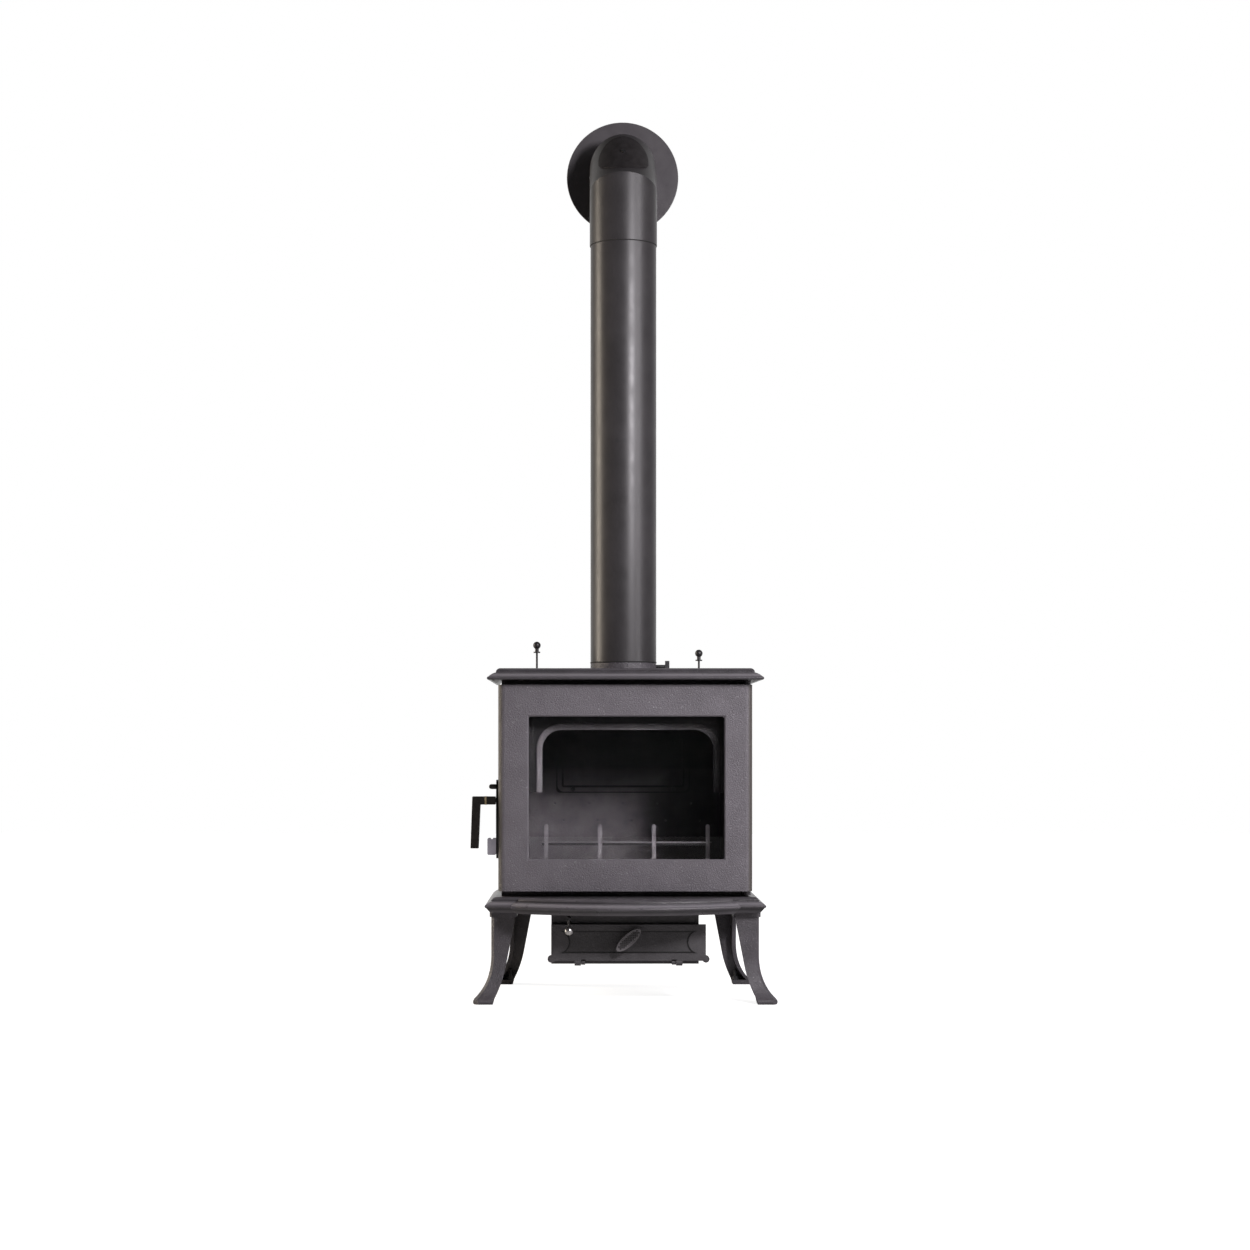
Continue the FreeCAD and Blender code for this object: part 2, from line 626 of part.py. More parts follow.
def swept_face(at, inset, foot):
    """Outline of all that lies more than an inset behind a leg's outer edge, down to a foot level."""
    cap_foot = LEG_HEIGHT - LEG_CAP_HEIGHT
    toe = LEG_TOE_SPLAY - inset
    depth = -2 * LEG_TOP_WIDTH
    corners = [at(toe, LEG_TOE_HEIGHT), at(toe, foot), at(depth, foot), at(depth, cap_foot)]
    corners += [at(-inset, cap_foot), at(-inset, LEG_SWEEP_TOP)]
    edges = [line(start, end) for start, end in zip(corners, corners[1:]) if start != end]
    edges.append(curve(corners[-1], at(-inset, LEG_SWEEP_PULL), corners[0]))
    return Part.Face(Part.Wire(edges))


def crossed(face, corner_x, corner_y):
    """The solid that shows one outline from the front and the same outline from the side."""
    span = 4 * LEG_TOP_WIDTH
    front = face(lambda u, z: Vector(corner_x + u, corner_y - span / 2, z))
    side = face(lambda u, z: Vector(corner_x - span / 2, corner_y + u, z))
    return front.extrude(ALONG_Y * span).common(side.extrude(ALONG_X * span))


def softened(shank, corner_x, corner_y):
    """Takes the sharp outer corner off a leg, all the way down its sweep."""
    half_span = 2 * LEG_TOP_WIDTH
    corner_x -= half_span
    corner_y += half_span
    keep = swept_face(lambda u, z: Vector(corner_x + u, corner_y + u, z), LEG_CORNER_BEVEL / 2, 0)
    return shank.common(keep.extrude((ALONG_X - ALONG_Y) * (2 * half_span)))


def leg(corner_x, corner_y):
    """Cabriole leg: a hollow angle that narrows to the ankle and sweeps out to the toe."""
    cap_foot = LEG_HEIGHT - LEG_CAP_HEIGHT
    shank = softened(crossed(leg_face, corner_x, corner_y), corner_x, corner_y)
    hollow = crossed(lambda at: swept_face(at, LEG_WALL, LEG_TOE_HEIGHT), corner_x, corner_y)
    shank = less(shank, hollow)
    low_x = corner_x - LEG_TOP_WIDTH - LEG_CAP_REACH
    low_y = corner_y - LEG_TOP_WIDTH - LEG_CAP_REACH
    cap = rounded_block(ALONG_Z, LEG_CORNER_RADIUS, low_x, corner_x + LEG_CAP_REACH,
                        low_y, corner_y + LEG_CAP_REACH, cap_foot, LEG_HEIGHT)
    half = LEG_TOP_WIDTH / 2
    bolt_hole = rod(LEG_BOLT_RADIUS + BOLT_PLAY, Vector(corner_x - half, corner_y - half, cap_foot),
                    ALONG_Z, LEG_CAP_HEIGHT)
    screw_x, screw_y = foot_centre(corner_x, corner_y)
    screw_hole = rod(LEVEL_SCREW_RADIUS + BOLT_PLAY, Vector(screw_x, screw_y, 0), ALONG_Z, LEG_TOE_HEIGHT)
    return less(fused(shank, cap), bolt_hole, screw_hole)


def foot_centre(corner_x, corner_y):
    reach = LEG_TOE_SPLAY - LEVEL_SCREW_INSET
    return corner_x + reach, corner_y + reach


def placed_leg(side, end, corner_x, corner_y):
    shape = leg(corner_x, corner_y)
    if side < 0:
        shape = mirrored_x(shape)
    if end < 0:
        shape = shape.mirror(Vector(0, 0, 0), ALONG_Y)
    return shape


def leg_bolts():
    bolts = []
    for x, y in leg_centres():
        seat = LEG_HEIGHT - LEG_CAP_HEIGHT
        head = hexagon(2 * LEG_BOLT_RADIUS, Vector(x, y, seat - LEG_BOLT_RADIUS), ALONG_Z, LEG_BOLT_RADIUS)
        shank = rod(LEG_BOLT_RADIUS, Vector(x, y, seat), ALONG_Z,
                    LEG_CAP_HEIGHT + LEG_BOLT_DEPTH - HINGE_GAP)
        bolts.append(fused(head, shank))
    return bolts


def levelling_screws():
    """Threaded rod through each sole, flush with the floor, locked by a nut on the sole."""
    screws = []
    for side, end, corner_x, corner_y in leg_corners():
        x, y = foot_centre(corner_x, corner_y)
        stud = rod(LEVEL_SCREW_RADIUS, Vector(side * x, end * y, 0), ALONG_Z, LEVEL_SCREW_LENGTH)
        nut = hexagon(2 * LEVEL_SCREW_RADIUS, Vector(side * x, end * y, LEG_TOE_HEIGHT), ALONG_Z,
                      LEVEL_NUT_HEIGHT)
        screws.append(fused(stud, nut))
    return Part.makeCompound(screws)


def side_plate():
    """Right side plate, with a shallow sunk panel in its outer face."""
    rear = BODY_BACK - WALL
    plate = box(BODY_HALF_WIDTH - WALL, BODY_HALF_WIDTH, FRAME_REAR, rear, BASE_TOP, TOP_SEAT)
    panel = rounded_block(ALONG_X, PANEL_CORNER, BODY_HALF_WIDTH - PANEL_DEPTH, BODY_HALF_WIDTH,
                          FRAME_REAR + PANEL_MARGIN, rear - PANEL_MARGIN,
                          BASE_TOP + PANEL_MARGIN, TOP_SEAT - PANEL_MARGIN)
    return less(plate, panel)


def shutter_foot(ball):
    """Height of a shutter's lower edge at rest, hung from its rod below the ball."""
    return ball - AIR_ROD_LENGTH - SHUTTER_HEIGHT / 2


def air_guide(x, side, low, high):
    """Channel strip that keeps one edge of a shutter against the back plate."""
    inner = SHUTTER_HALF_WIDTH + SLIDE_PLAY
    face = BODY_BACK + SHUTTER_THICKNESS + 2 * SLIDE_PLAY
    web = sorted((x + side * inner, x + side * (inner + GUIDE_WIDTH)))
    lip = sorted((x + side * (inner - GUIDE_LIP), x + side * (inner + GUIDE_WIDTH)))
    return fused(box(*web, BODY_BACK, face, low, high), box(*lip, face, face + GUIDE_LIP, low, high))


def back_plate():
    plate = box(-BODY_HALF_WIDTH, BODY_HALF_WIDTH, BODY_BACK - WALL, BODY_BACK, BASE_TOP, TOP_SEAT)
    guides = []
    ports = []
    for x, ball, down, up in air_controls():
        lowest = shutter_foot(ball) - down
        for side in (-1, 1):
            guides.append(air_guide(x, side, lowest, shutter_foot(ball) + SHUTTER_HEIGHT + up))
        port_low = lowest + (SHUTTER_HEIGHT - AIR_PORT_HEIGHT) / 2
        port = rounded_block(ALONG_Y, WALL, x - AIR_PORT_HALF_WIDTH, x + AIR_PORT_HALF_WIDTH,
                             BODY_BACK - WALL, BODY_BACK, port_low, port_low + AIR_PORT_HEIGHT)
        ports.append(port)
    return less(fused(plate, *guides), *ports)


def hinge_lug(low):
    """Lug on the front frame that carries one end of the door's hinge."""
    arm = box(HINGE_X - HINGE_LUG_RADIUS, HINGE_X + HINGE_LUG_RADIUS, HINGE_Y, BODY_FRONT,
              low, low + HINGE_LUG_HEIGHT)
    eye = rod(HINGE_LUG_RADIUS, Vector(HINGE_X, HINGE_Y, low), ALONG_Z, HINGE_LUG_HEIGHT)
    bore = rod(HINGE_PIN_RADIUS + PIN_PLAY, Vector(HINGE_X, HINGE_Y, low), ALONG_Z, HINGE_LUG_HEIGHT)
    return less(fused(arm, eye), bore)


def hinge_lug_heights():
    return DOOR_BOTTOM - HINGE_GAP - HINGE_LUG_HEIGHT, DOOR_TOP + HINGE_GAP


def front_frame():
    plate = box(-BODY_HALF_WIDTH, BODY_HALF_WIDTH, BODY_FRONT, FRAME_REAR, BASE_TOP, TOP_SEAT)
    doorway = rounded_block(ALONG_Y, FIRE_DOORWAY_CORNER, -FIRE_DOORWAY_HALF_WIDTH, FIRE_DOORWAY_HALF_WIDTH,
                            BODY_FRONT, FRAME_REAR, FIRE_DOORWAY_BOTTOM, FIRE_DOORWAY_TOP)
    holes = [doorway]
    for x, z in keeper_screw_places():
        holes.append(rod(KEEPER_SCREW_RADIUS + BOLT_PLAY, Vector(x, BODY_FRONT, z), ALONG_Y,
                         KEEPER_SCREW_DEPTH))
    for x, z in airwash_screw_places():
        start = Vector(x, FRAME_REAR - AIRWASH_SCREW_DEPTH, z)
        holes.append(rod(AIRWASH_SCREW_RADIUS + BOLT_PLAY, start, ALONG_Y, AIRWASH_SCREW_DEPTH))
    lugs = [hinge_lug(low) for low in hinge_lug_heights()]
    return less(fused(plate, *lugs), *holes)


def side_liner():
    front = FRAME_REAR + ARCH_PLATE + AIRWASH_SCREW_RADIUS + HINGE_GAP
    return box(FIREBOX_HALF_WIDTH, LINER_HALF_WIDTH, front, LINER_FACE, BASE_TOP, LINER_TOP)


def back_liner():
    """Rear fire brick, pierced by two rows of secondary air holes."""
    brick = box(-LINER_HALF_WIDTH, LINER_HALF_WIDTH, LINER_FACE, LINER_REAR, BASE_TOP, LINER_TOP)
    holes = []
    for row in range(AIR_HOLE_ROWS):
        for column in range(AIR_HOLE_COLUMNS):
            x = (column - (AIR_HOLE_COLUMNS - 1) / 2) * AIR_HOLE_PITCH + row * AIR_HOLE_PITCH / 4
            start = Vector(x, LINER_FACE, AIR_HOLE_Z - row * AIR_HOLE_PITCH / 2)
            holes.append(rod(AIR_HOLE_RADIUS, start, ALONG_Y, LINER_THICKNESS))
    for x, z in rear_bolt_places():
        holes.append(rod(REAR_BOLT_RADIUS + BOLT_PLAY, Vector(x, LINER_FACE, z), ALONG_Y, REAR_BOLT_DEPTH))
    return less(brick, *holes)


def throat_baffle():
    """Plate on top of the liners that turns the flames forward, with an upturned front edge."""
    z1 = LINER_TOP + BAFFLE_THICKNESS
    z2 = z1 + BAFFLE_UPTURN
    back = BAFFLE_FRONT + BAFFLE_THICKNESS
    section = [(BAFFLE_FRONT, LINER_TOP), (LINER_REAR, LINER_TOP), (LINER_REAR, z1), (back, z1),
               (back, z2), (BAFFLE_FRONT, z2)]
    corners = [Vector(-LINER_HALF_WIDTH, y, z) for y, z in section]
    return prism(corners, ALONG_X * (2 * LINER_HALF_WIDTH))


def rear_bolt_places():
    z = REAR_PLATE_BOTTOM + REAR_PLATE_RIM
    x = REAR_PLATE_HALF_WIDTH - REAR_BOLT_INSET
    return [(-x, z), (x, z)]


def rear_plate():
    """Fire plate on the rear brick, with a raised rim round a sunk field."""
    front = LINER_FACE - REAR_PLATE_THICKNESS
    top = LINER_TOP - SLIDE_PLAY
    half = REAR_PLATE_HALF_WIDTH
    plate = rounded_block(ALONG_Y, REAR_PLATE_RIM, -half, half, front, LINER_FACE, REAR_PLATE_BOTTOM, top)
    rim = 2 * REAR_PLATE_RIM
    field = rounded_block(ALONG_Y, REAR_PLATE_RIM, rim - half, half - rim, front,
                          front + REAR_PLATE_THICKNESS / 2, REAR_PLATE_BOTTOM + rim, top - rim)
    holes = [rod(REAR_BOLT_RADIUS + BOLT_PLAY, Vector(x, front, z), ALONG_Y, REAR_PLATE_THICKNESS)
             for x, z in rear_bolt_places()]
    return less(plate, field, *holes)


def rear_plate_bolts():
    bolts = []
    front = LINER_FACE - REAR_PLATE_THICKNESS
    for x, z in rear_bolt_places():
        head = hexagon(2 * REAR_BOLT_RADIUS, Vector(x, front - REAR_BOLT_RADIUS, z), ALONG_Y,
                       REAR_BOLT_RADIUS)
        length = REAR_PLATE_THICKNESS + REAR_BOLT_DEPTH - HINGE_GAP
        bolts.append(fused(head, rod(REAR_BOLT_RADIUS, Vector(x, front, z), ALONG_Y, length)))
    return bolts


def arch_block(half_width, top, radius, y0, y1):
    """Round-cornered arch standing on the air-wash plate's foot line."""
    block = rounded_block(ALONG_Y, radius, ARCH_CENTRE - half_width, ARCH_CENTRE + half_width, y0, y1,
                          ARCH_FOOT - radius, top)
    skirt = box(ARCH_CENTRE - half_width, ARCH_CENTRE + half_width, y0, y1, ARCH_FOOT - radius, ARCH_FOOT)
    return less(block, skirt)


def airwash_screw_places():
    x = FIRE_DOORWAY_HALF_WIDTH + AIRWASH_LAP / 2
    return [(side * x, z) for side in (-1, 1) for z in (ARCH_FOOT + AIRWASH_LAP,
                                                        FIRE_DOORWAY_TOP - AIRWASH_LAP)]


def airwash_plate():
    """Plate behind the top of the doorway, with a raised arch that throws air down the glass."""
    half = FIRE_DOORWAY_HALF_WIDTH + AIRWASH_LAP
    rear = FRAME_REAR + ARCH_PLATE
    plate = box(-half, half, FRAME_REAR, rear, ARCH_FOOT, FIRE_DOORWAY_TOP + AIRWASH_LAP)
    lip_front = FRAME_REAR - ARCH_LIP
    strip = arch_block(ARCH_HALF_WIDTH, ARCH_TOP, ARCH_RADIUS, lip_front, FRAME_REAR)
    inside = arch_block(ARCH_HALF_WIDTH - ARCH_STRIP, ARCH_TOP - ARCH_STRIP, ARCH_RADIUS - ARCH_STRIP,
                        lip_front, rear)
    holes = [rod(AIRWASH_SCREW_RADIUS + BOLT_PLAY, Vector(x, FRAME_REAR, z), ALONG_Y, ARCH_PLATE)
             for x, z in airwash_screw_places()]
    return less(fused(plate, strip), inside, *holes)


def airwash_screws():
    screws = []
    rear = FRAME_REAR + ARCH_PLATE
    for x, z in airwash_screw_places():
        head = rod(2 * AIRWASH_SCREW_RADIUS, Vector(x, rear, z), ALONG_Y, AIRWASH_SCREW_RADIUS)
        length = ARCH_PLATE + AIRWASH_SCREW_DEPTH - HINGE_GAP
        shank = rod(AIRWASH_SCREW_RADIUS, Vector(x, rear - length, z), ALONG_Y, length)
        screws.append(fused(head, shank))
    return screws


def fire_fence():
    """Log fence: round-topped uprights joined by a flat bar, standing on a foot rail."""
    half = FENCE_UPRIGHT_WIDTH / 2
    span = FENCE_PITCH * (FENCE_UPRIGHTS - 1) / 2
    low = FENCE_CENTRE - span - FENCE_UPRIGHT_WIDTH
    high = FENCE_CENTRE + span + FENCE_UPRIGHT_WIDTH
    rear = FENCE_Y + FENCE_THICKNESS
    pieces = [box(low, high, FENCE_Y, rear, BASE_TOP, BASE_TOP + FENCE_BAR_HEIGHT)]
    pieces.append(box(low, high, FENCE_Y, rear, FENCE_BAR_Z - FENCE_BAR_HEIGHT / 2,
                      FENCE_BAR_Z + FENCE_BAR_HEIGHT / 2))
    for number in range(FENCE_UPRIGHTS):
        x = FENCE_CENTRE - span + number * FENCE_PITCH
        pieces.append(box(x - half, x + half, FENCE_Y, rear, BASE_TOP, FENCE_TOP - half))
        pieces.append(rod(half, Vector(x, FENCE_Y, FENCE_TOP - half), ALONG_Y, FENCE_THICKNESS))
    return fused(*pieces)


def window_block(grow, y0, y1):
    x0 = WINDOW_CENTRE - WINDOW_HALF_WIDTH - grow
    x1 = WINDOW_CENTRE + WINDOW_HALF_WIDTH + grow
    return rounded_block(ALONG_Y, WINDOW_CORNER, x0, x1, y0, y1, WINDOW_BOTTOM - grow, WINDOW_TOP + grow)


def rope_ring(inset, width, y0, y1):
    """Ring set in from the door's inner walls, for the rope and for the land that holds it."""
    x = DOOR_HALF_WIDTH - DOOR_SKIN - ROPE_LAND_INSET - inset
    z0 = DOOR_BOTTOM + DOOR_SKIN + ROPE_LAND_INSET + inset
    z1 = DOOR_TOP - DOOR_SKIN - ROPE_LAND_INSET - inset
    outer = rounded_block(ALONG_Y, ROPE_CORNER, -x, x, y0, y1, z0, z1)
    hole = box(width - x, x - width, y0, y1, z0 + width, z1 - width)
    return less(outer, rounded(hole, ALONG_Y, ROPE_CORNER - width))


def clip_places():
    """Centre of each glass clip's screw, with the side of the window it grips."""
    top = WINDOW_TOP + GLASS_LAP + CLIP_SCREW_OFFSET
    bottom = WINDOW_BOTTOM - GLASS_LAP - CLIP_SCREW_OFFSET
    xs = (WINDOW_CENTRE - CLIP_OFFSET, WINDOW_CENTRE + CLIP_OFFSET)
    return [(x, z, side) for x in xs for z, side in ((top, 1), (bottom, -1))]


def door_frame():
    """Door casting: a pan with rounded upright edges, a window, and a land for the rope."""
    block = box(-DOOR_HALF_WIDTH, DOOR_HALF_WIDTH, DOOR_FACE, DOOR_REAR, DOOR_BOTTOM, DOOR_TOP)
    uprights = [edge for edge in block.Edges if abs(edge.CenterOfMass.y - DOOR_FACE) < PIN_PLAY
                and abs(edge.CenterOfMass.x) > DOOR_HALF_WIDTH - PIN_PLAY]
    block = block.makeFillet(DOOR_EDGE_RADIUS, uprights)
    inner = DOOR_HALF_WIDTH - DOOR_SKIN
    skin_rear = DOOR_FACE + DOOR_SKIN
    pan = box(-inner, inner, skin_rear, DOOR_REAR, DOOR_BOTTOM + DOOR_SKIN, DOOR_TOP - DOOR_SKIN)
    faces = []
    for grow, y in ((WINDOW_BEVEL, DOOR_FACE), (0, DOOR_FACE + WINDOW_BEVEL)):
        x0 = WINDOW_CENTRE - WINDOW_HALF_WIDTH - grow
        x1 = WINDOW_CENTRE + WINDOW_HALF_WIDTH + grow
        z0 = WINDOW_BOTTOM - grow
        z1 = WINDOW_TOP + grow
        faces.append(Part.makePolygon([Vector(x0, y, z0), Vector(x1, y, z0), Vector(x1, y, z1),
                                       Vector(x0, y, z1), Vector(x0, y, z0)]))
    bevel = Part.makeLoft(faces, True, True)
    door = less(block, pan)
    groove_inset = (ROPE_LAND_WIDTH - ROPE_WIDTH) / 2
    land = rope_ring(0, ROPE_LAND_WIDTH, skin_rear, ROPE_LAND_REAR)
    groove = rope_ring(groove_inset, ROPE_WIDTH, ROPE_LAND_REAR - ROPE_DEPTH, ROPE_LAND_REAR)
    bosses = [land]
    holes = [window_block(0, DOOR_FACE, skin_rear), bevel, groove]
    for x, z, side in clip_places():
        bosses.append(rod(CLIP_BOSS_RADIUS, Vector(x, skin_rear, z), ALONG_Y, GLASS_REAR - skin_rear))
        start = Vector(x, GLASS_REAR - CLIP_SCREW_DEPTH, z)
        holes.append(rod(CLIP_SCREW_RADIUS + BOLT_PLAY, start, ALONG_Y, CLIP_SCREW_DEPTH))
    for z in (DOOR_BOTTOM, DOOR_TOP - HINGE_PIN_IN_DOOR):
        foot = Vector(HINGE_X, HINGE_Y, z)
        bosses.append(rod(HINGE_LUG_RADIUS, foot, ALONG_Z, HINGE_PIN_IN_DOOR))
        holes.append(rod(HINGE_PIN_RADIUS + PIN_PLAY, foot, ALONG_Z, HINGE_PIN_IN_DOOR))
    start = Vector(-DOOR_HALF_WIDTH, SPINDLE_Y, SPINDLE_Z)
    holes.append(rod(SPINDLE_RADIUS + PIN_PLAY, start, ALONG_X, DOOR_SKIN))
    return less(fused(door, *bosses), *holes)


def door_hinge_pins():
    low, high = hinge_lug_heights()
    length = HINGE_LUG_HEIGHT + HINGE_GAP + HINGE_PIN_IN_DOOR
    pins = [rod(HINGE_PIN_RADIUS, Vector(HINGE_X, HINGE_Y, low), ALONG_Z, length),
            rod(HINGE_PIN_RADIUS, Vector(HINGE_X, HINGE_Y, DOOR_TOP - HINGE_PIN_IN_DOOR), ALONG_Z, length)]
    return Part.makeCompound(pins)


def door_rope():
    inset = (ROPE_LAND_WIDTH - ROPE_WIDTH) / 2
    return rope_ring(inset, ROPE_WIDTH, ROPE_LAND_REAR - ROPE_DEPTH, BODY_FRONT - SLIDE_PLAY)


def door_glass():
    return window_block(GLASS_LAP, GLASS_FRONT, GLASS_REAR)


def glass_gasket():
    front = DOOR_FACE + DOOR_SKIN
    return less(window_block(GLASS_LAP, front, GLASS_FRONT), window_block(GLASS_LAP - GASKET_WIDTH, front,
                                                                          GLASS_FRONT))


def glass_clips():
    clips = []
    for x, z, side in clip_places():
        ends = sorted((z - side * (CLIP_SCREW_OFFSET + GLASS_LAP - 1), z + side * CLIP_BOSS_RADIUS))
        plate = rounded_block(ALONG_Y, CLIP_THICKNESS, x - CLIP_WIDTH / 2, x + CLIP_WIDTH / 2,
                              GLASS_REAR, GLASS_REAR + CLIP_THICKNESS, *ends)
        hole = rod(CLIP_SCREW_RADIUS + BOLT_PLAY, Vector(x, GLASS_REAR, z), ALONG_Y, CLIP_THICKNESS)
        clips.append(less(plate, hole))
    return Part.makeCompound(clips)


def glass_clip_screws():
    screws = []
    for x, z, side in clip_places():
        seat = GLASS_REAR + CLIP_THICKNESS
        head = rod(2 * CLIP_SCREW_RADIUS, Vector(x, seat, z), ALONG_Y, CLIP_SCREW_RADIUS)
        length = CLIP_THICKNESS + CLIP_SCREW_DEPTH - HINGE_GAP
        screws.append(fused(head, rod(CLIP_SCREW_RADIUS, Vector(x, seat - length, z), ALONG_Y, length)))
    return Part.makeCompound(screws)


def latch_plate():
    """Leaf-shaped plate on the door's edge round the handle's spindle, with a round-nosed stud above it."""
    x = -DOOR_HALF_WIDTH - LATCH_PLATE_THICKNESS
    middle = (LATCH_PLATE_BOTTOM + LATCH_PLATE_TOP) / 2
    ends = [Vector(x, SPINDLE_Y, LATCH_PLATE_BOTTOM), Vector(x, SPINDLE_Y, LATCH_PLATE_TOP)]
    edges = [arc(ends[0], Vector(x, SPINDLE_Y + side * LATCH_PLATE_HALF_DEPTH, middle),
                 ends[1]) for side in (-1, 1)]
    leaf = Part.Face(wire_of(edges)).extrude(ALONG_X * LATCH_PLATE_THICKNESS)
    tip = Vector(x - LATCH_STUD_REACH + LATCH_STUD_RADIUS, SPINDLE_Y, LATCH_STUD_Z)
    stud = rod(LATCH_STUD_RADIUS, tip, ALONG_X, x - tip.x)
    bore = rod(SPINDLE_RADIUS + PIN_PLAY, Vector(x, SPINDLE_Y, SPINDLE_Z), ALONG_X, LATCH_PLATE_THICKNESS)
    return less(fused(leaf, stud, Part.makeSphere(LATCH_STUD_RADIUS, tip)), bore)


def latch_block():
    """Ribbed stop block on the latch plate, below the handle."""
    root = -DOOR_HALF_WIDTH - LATCH_PLATE_THICKNESS
    half = LATCH_BLOCK_HALF_DEPTH
    block = rounded_block(ALONG_Y, LATCH_BLOCK_ROUND, root - LATCH_BLOCK_REACH, root, SPINDLE_Y - half,
                          SPINDLE_Y + half,
                          LATCH_BLOCK_BOTTOM, LATCH_BLOCK_TOP)
    notch_x = root - LATCH_BLOCK_REACH / 2
    notch = rod(LATCH_BLOCK_ROUND, Vector(notch_x, SPINDLE_Y - half, LATCH_BLOCK_TOP), ALONG_Y, 2 * half)
    return less(block, notch)


def handle_arm_end():
    return -DOOR_HALF_WIDTH - LATCH_PLATE_THICKNESS - HINGE_GAP


def arm_block(half, x0, x1):
    return box(x0, x1, SPINDLE_Y - half, SPINDLE_Y + half, SPINDLE_Z - half, SPINDLE_Z + half)


def door_handle():
    """Lever: a square bar bent to an L, with a neck for its ring and a socket for the spindle."""
    half = HANDLE_BAR / 2
    end = handle_arm_end()
    front = SPINDLE_Y - half
    foot = SPINDLE_Z + half - HANDLE_BAR - HANDLE_DROP + half
    outer = end - HANDLE_REACH
    inner = outer + HANDLE_BAR
    corners = [(outer, SPINDLE_Z + half), (end, SPINDLE_Z + half), (end, SPINDLE_Z - half),
               (inner, SPINDLE_Z - half),
               (inner - HANDLE_SPLAY, foot), (outer - HANDLE_SPLAY, foot)]
    bar = prism([Vector(x, front, z) for x, z in corners], ALONG_Y * HANDLE_BAR)
    bar = bar.makeFillet(HANDLE_ROUND, bar.Edges)
    ring_x = handle_arm_end() - HANDLE_RING_INSET - HANDLE_RING_WIDTH / 2
    groove = less(arm_block(HANDLE_BAR, ring_x, ring_x + HANDLE_RING_WIDTH),
                  arm_block(half - HANDLE_RING_DEPTH, ring_x, ring_x + HANDLE_RING_WIDTH))
    socket = rod(SPINDLE_RADIUS + BOLT_PLAY, Vector(end - SPINDLE_SOCKET, SPINDLE_Y, SPINDLE_Z), ALONG_X,
                 SPINDLE_SOCKET)
    return less(bar, groove, socket)


def handle_ring():
    ring_x = handle_arm_end() - HANDLE_RING_INSET - HANDLE_RING_WIDTH / 2
    outer = arm_block(HANDLE_BAR / 2 + SLIDE_PLAY, ring_x, ring_x + HANDLE_RING_WIDTH)
    return less(outer, arm_block(HANDLE_BAR / 2 - HANDLE_RING_DEPTH, ring_x, ring_x + HANDLE_RING_WIDTH))


def crank_start():
    return -DOOR_HALF_WIDTH + DOOR_SKIN + 2 * HINGE_GAP


def handle_spindle():
    start = handle_arm_end() - SPINDLE_SOCKET
    return rod(SPINDLE_RADIUS, Vector(start, SPINDLE_Y, SPINDLE_Z), ALONG_X,
               crank_start() + CRANK_THICKNESS - start)


def roller_offset(angle):
    turn = math.radians(angle)
    return CRANK_RADIUS * math.cos(turn), CRANK_RADIUS * math.sin(turn)


def latch_crank():
    """Crank on the spindle's inner end, whose roller goes behind the keeper's lip."""
    x = crank_start()
    y, z = roller_offset(ROLLER_REST_ANGLE)
    hub = rod(SPINDLE_RADIUS + CRANK_WEB, Vector(x, SPINDLE_Y, SPINDLE_Z), ALONG_X, CRANK_THICKNESS)
    roller_place = Vector(x, SPINDLE_Y + y, SPINDLE_Z + z)
    eye = rod(ROLLER_RADIUS + CRANK_WEB / 2, roller_place, ALONG_X, CRANK_THICKNESS)
    roller = rod(ROLLER_RADIUS, roller_place, ALONG_X, CRANK_THICKNESS + ROLLER_LENGTH)
    bore = rod(SPINDLE_RADIUS + BOLT_PLAY, Vector(x, SPINDLE_Y, SPINDLE_Z), ALONG_X, CRANK_THICKNESS)
    return less(fused(hub, eye, roller), bore)


def keeper_x():
    low = crank_start() + CRANK_THICKNESS + 2 * HINGE_GAP
    return low, low + KEEPER_THICKNESS


def keeper_screw_places():
    low, high = keeper_x()
    x = low + KEEPER_THICKNESS - KEEPER_SCREW_RADIUS
    return [(x, SPINDLE_Z + KEEPER_FLANGE_HEIGHT * share) for share in (KEEPER_SCREW_LOW, KEEPER_SCREW_HIGH)]


def latch_keeper():
    """Hook on the front frame; its lip hangs in front of the roller when the door is latched."""
    low, high = keeper_x()
    latched_y, latched_z = roller_offset(ROLLER_LATCHED_ANGLE)
    rest_y, rest_z = roller_offset(ROLLER_REST_ANGLE)
    lip_rear = SPINDLE_Y + latched_y - ROLLER_RADIUS - 2 * SLIDE_PLAY
    lip_foot = SPINDLE_Z + rest_z + ROLLER_RADIUS + HINGE_GAP
    arm_foot = SPINDLE_Z + latched_z + ROLLER_RADIUS + HINGE_GAP
    arm_top = arm_foot + 2 * KEEPER_LIP
    arm = box(low, high, lip_rear - KEEPER_LIP, BODY_FRONT, arm_foot, arm_top)
    lip = box(low, high, lip_rear - KEEPER_LIP, lip_rear, lip_foot, arm_top)
    flange = box(low, high + KEEPER_FLANGE, BODY_FRONT - KEEPER_FLANGE, BODY_FRONT,
                 arm_foot, SPINDLE_Z + KEEPER_FLANGE_HEIGHT)
    holes = [rod(KEEPER_SCREW_RADIUS + BOLT_PLAY, Vector(x, BODY_FRONT - KEEPER_FLANGE, z), ALONG_Y,
                 KEEPER_FLANGE)
             for x, z in keeper_screw_places()]
    return less(fused(arm, lip, flange), *holes)


def keeper_screws():
    screws = []
    for x, z in keeper_screw_places():
        seat = Vector(x, BODY_FRONT - KEEPER_FLANGE, z)
        head = rod(KEEPER_HEAD_RADIUS, seat - ALONG_Y * KEEPER_SCREW_RADIUS, ALONG_Y,
                   KEEPER_SCREW_RADIUS)
        shank = rod(KEEPER_SCREW_RADIUS, seat, ALONG_Y, KEEPER_FLANGE + KEEPER_SCREW_DEPTH - HINGE_GAP)
        screws.append(fused(head, shank))
    return screws


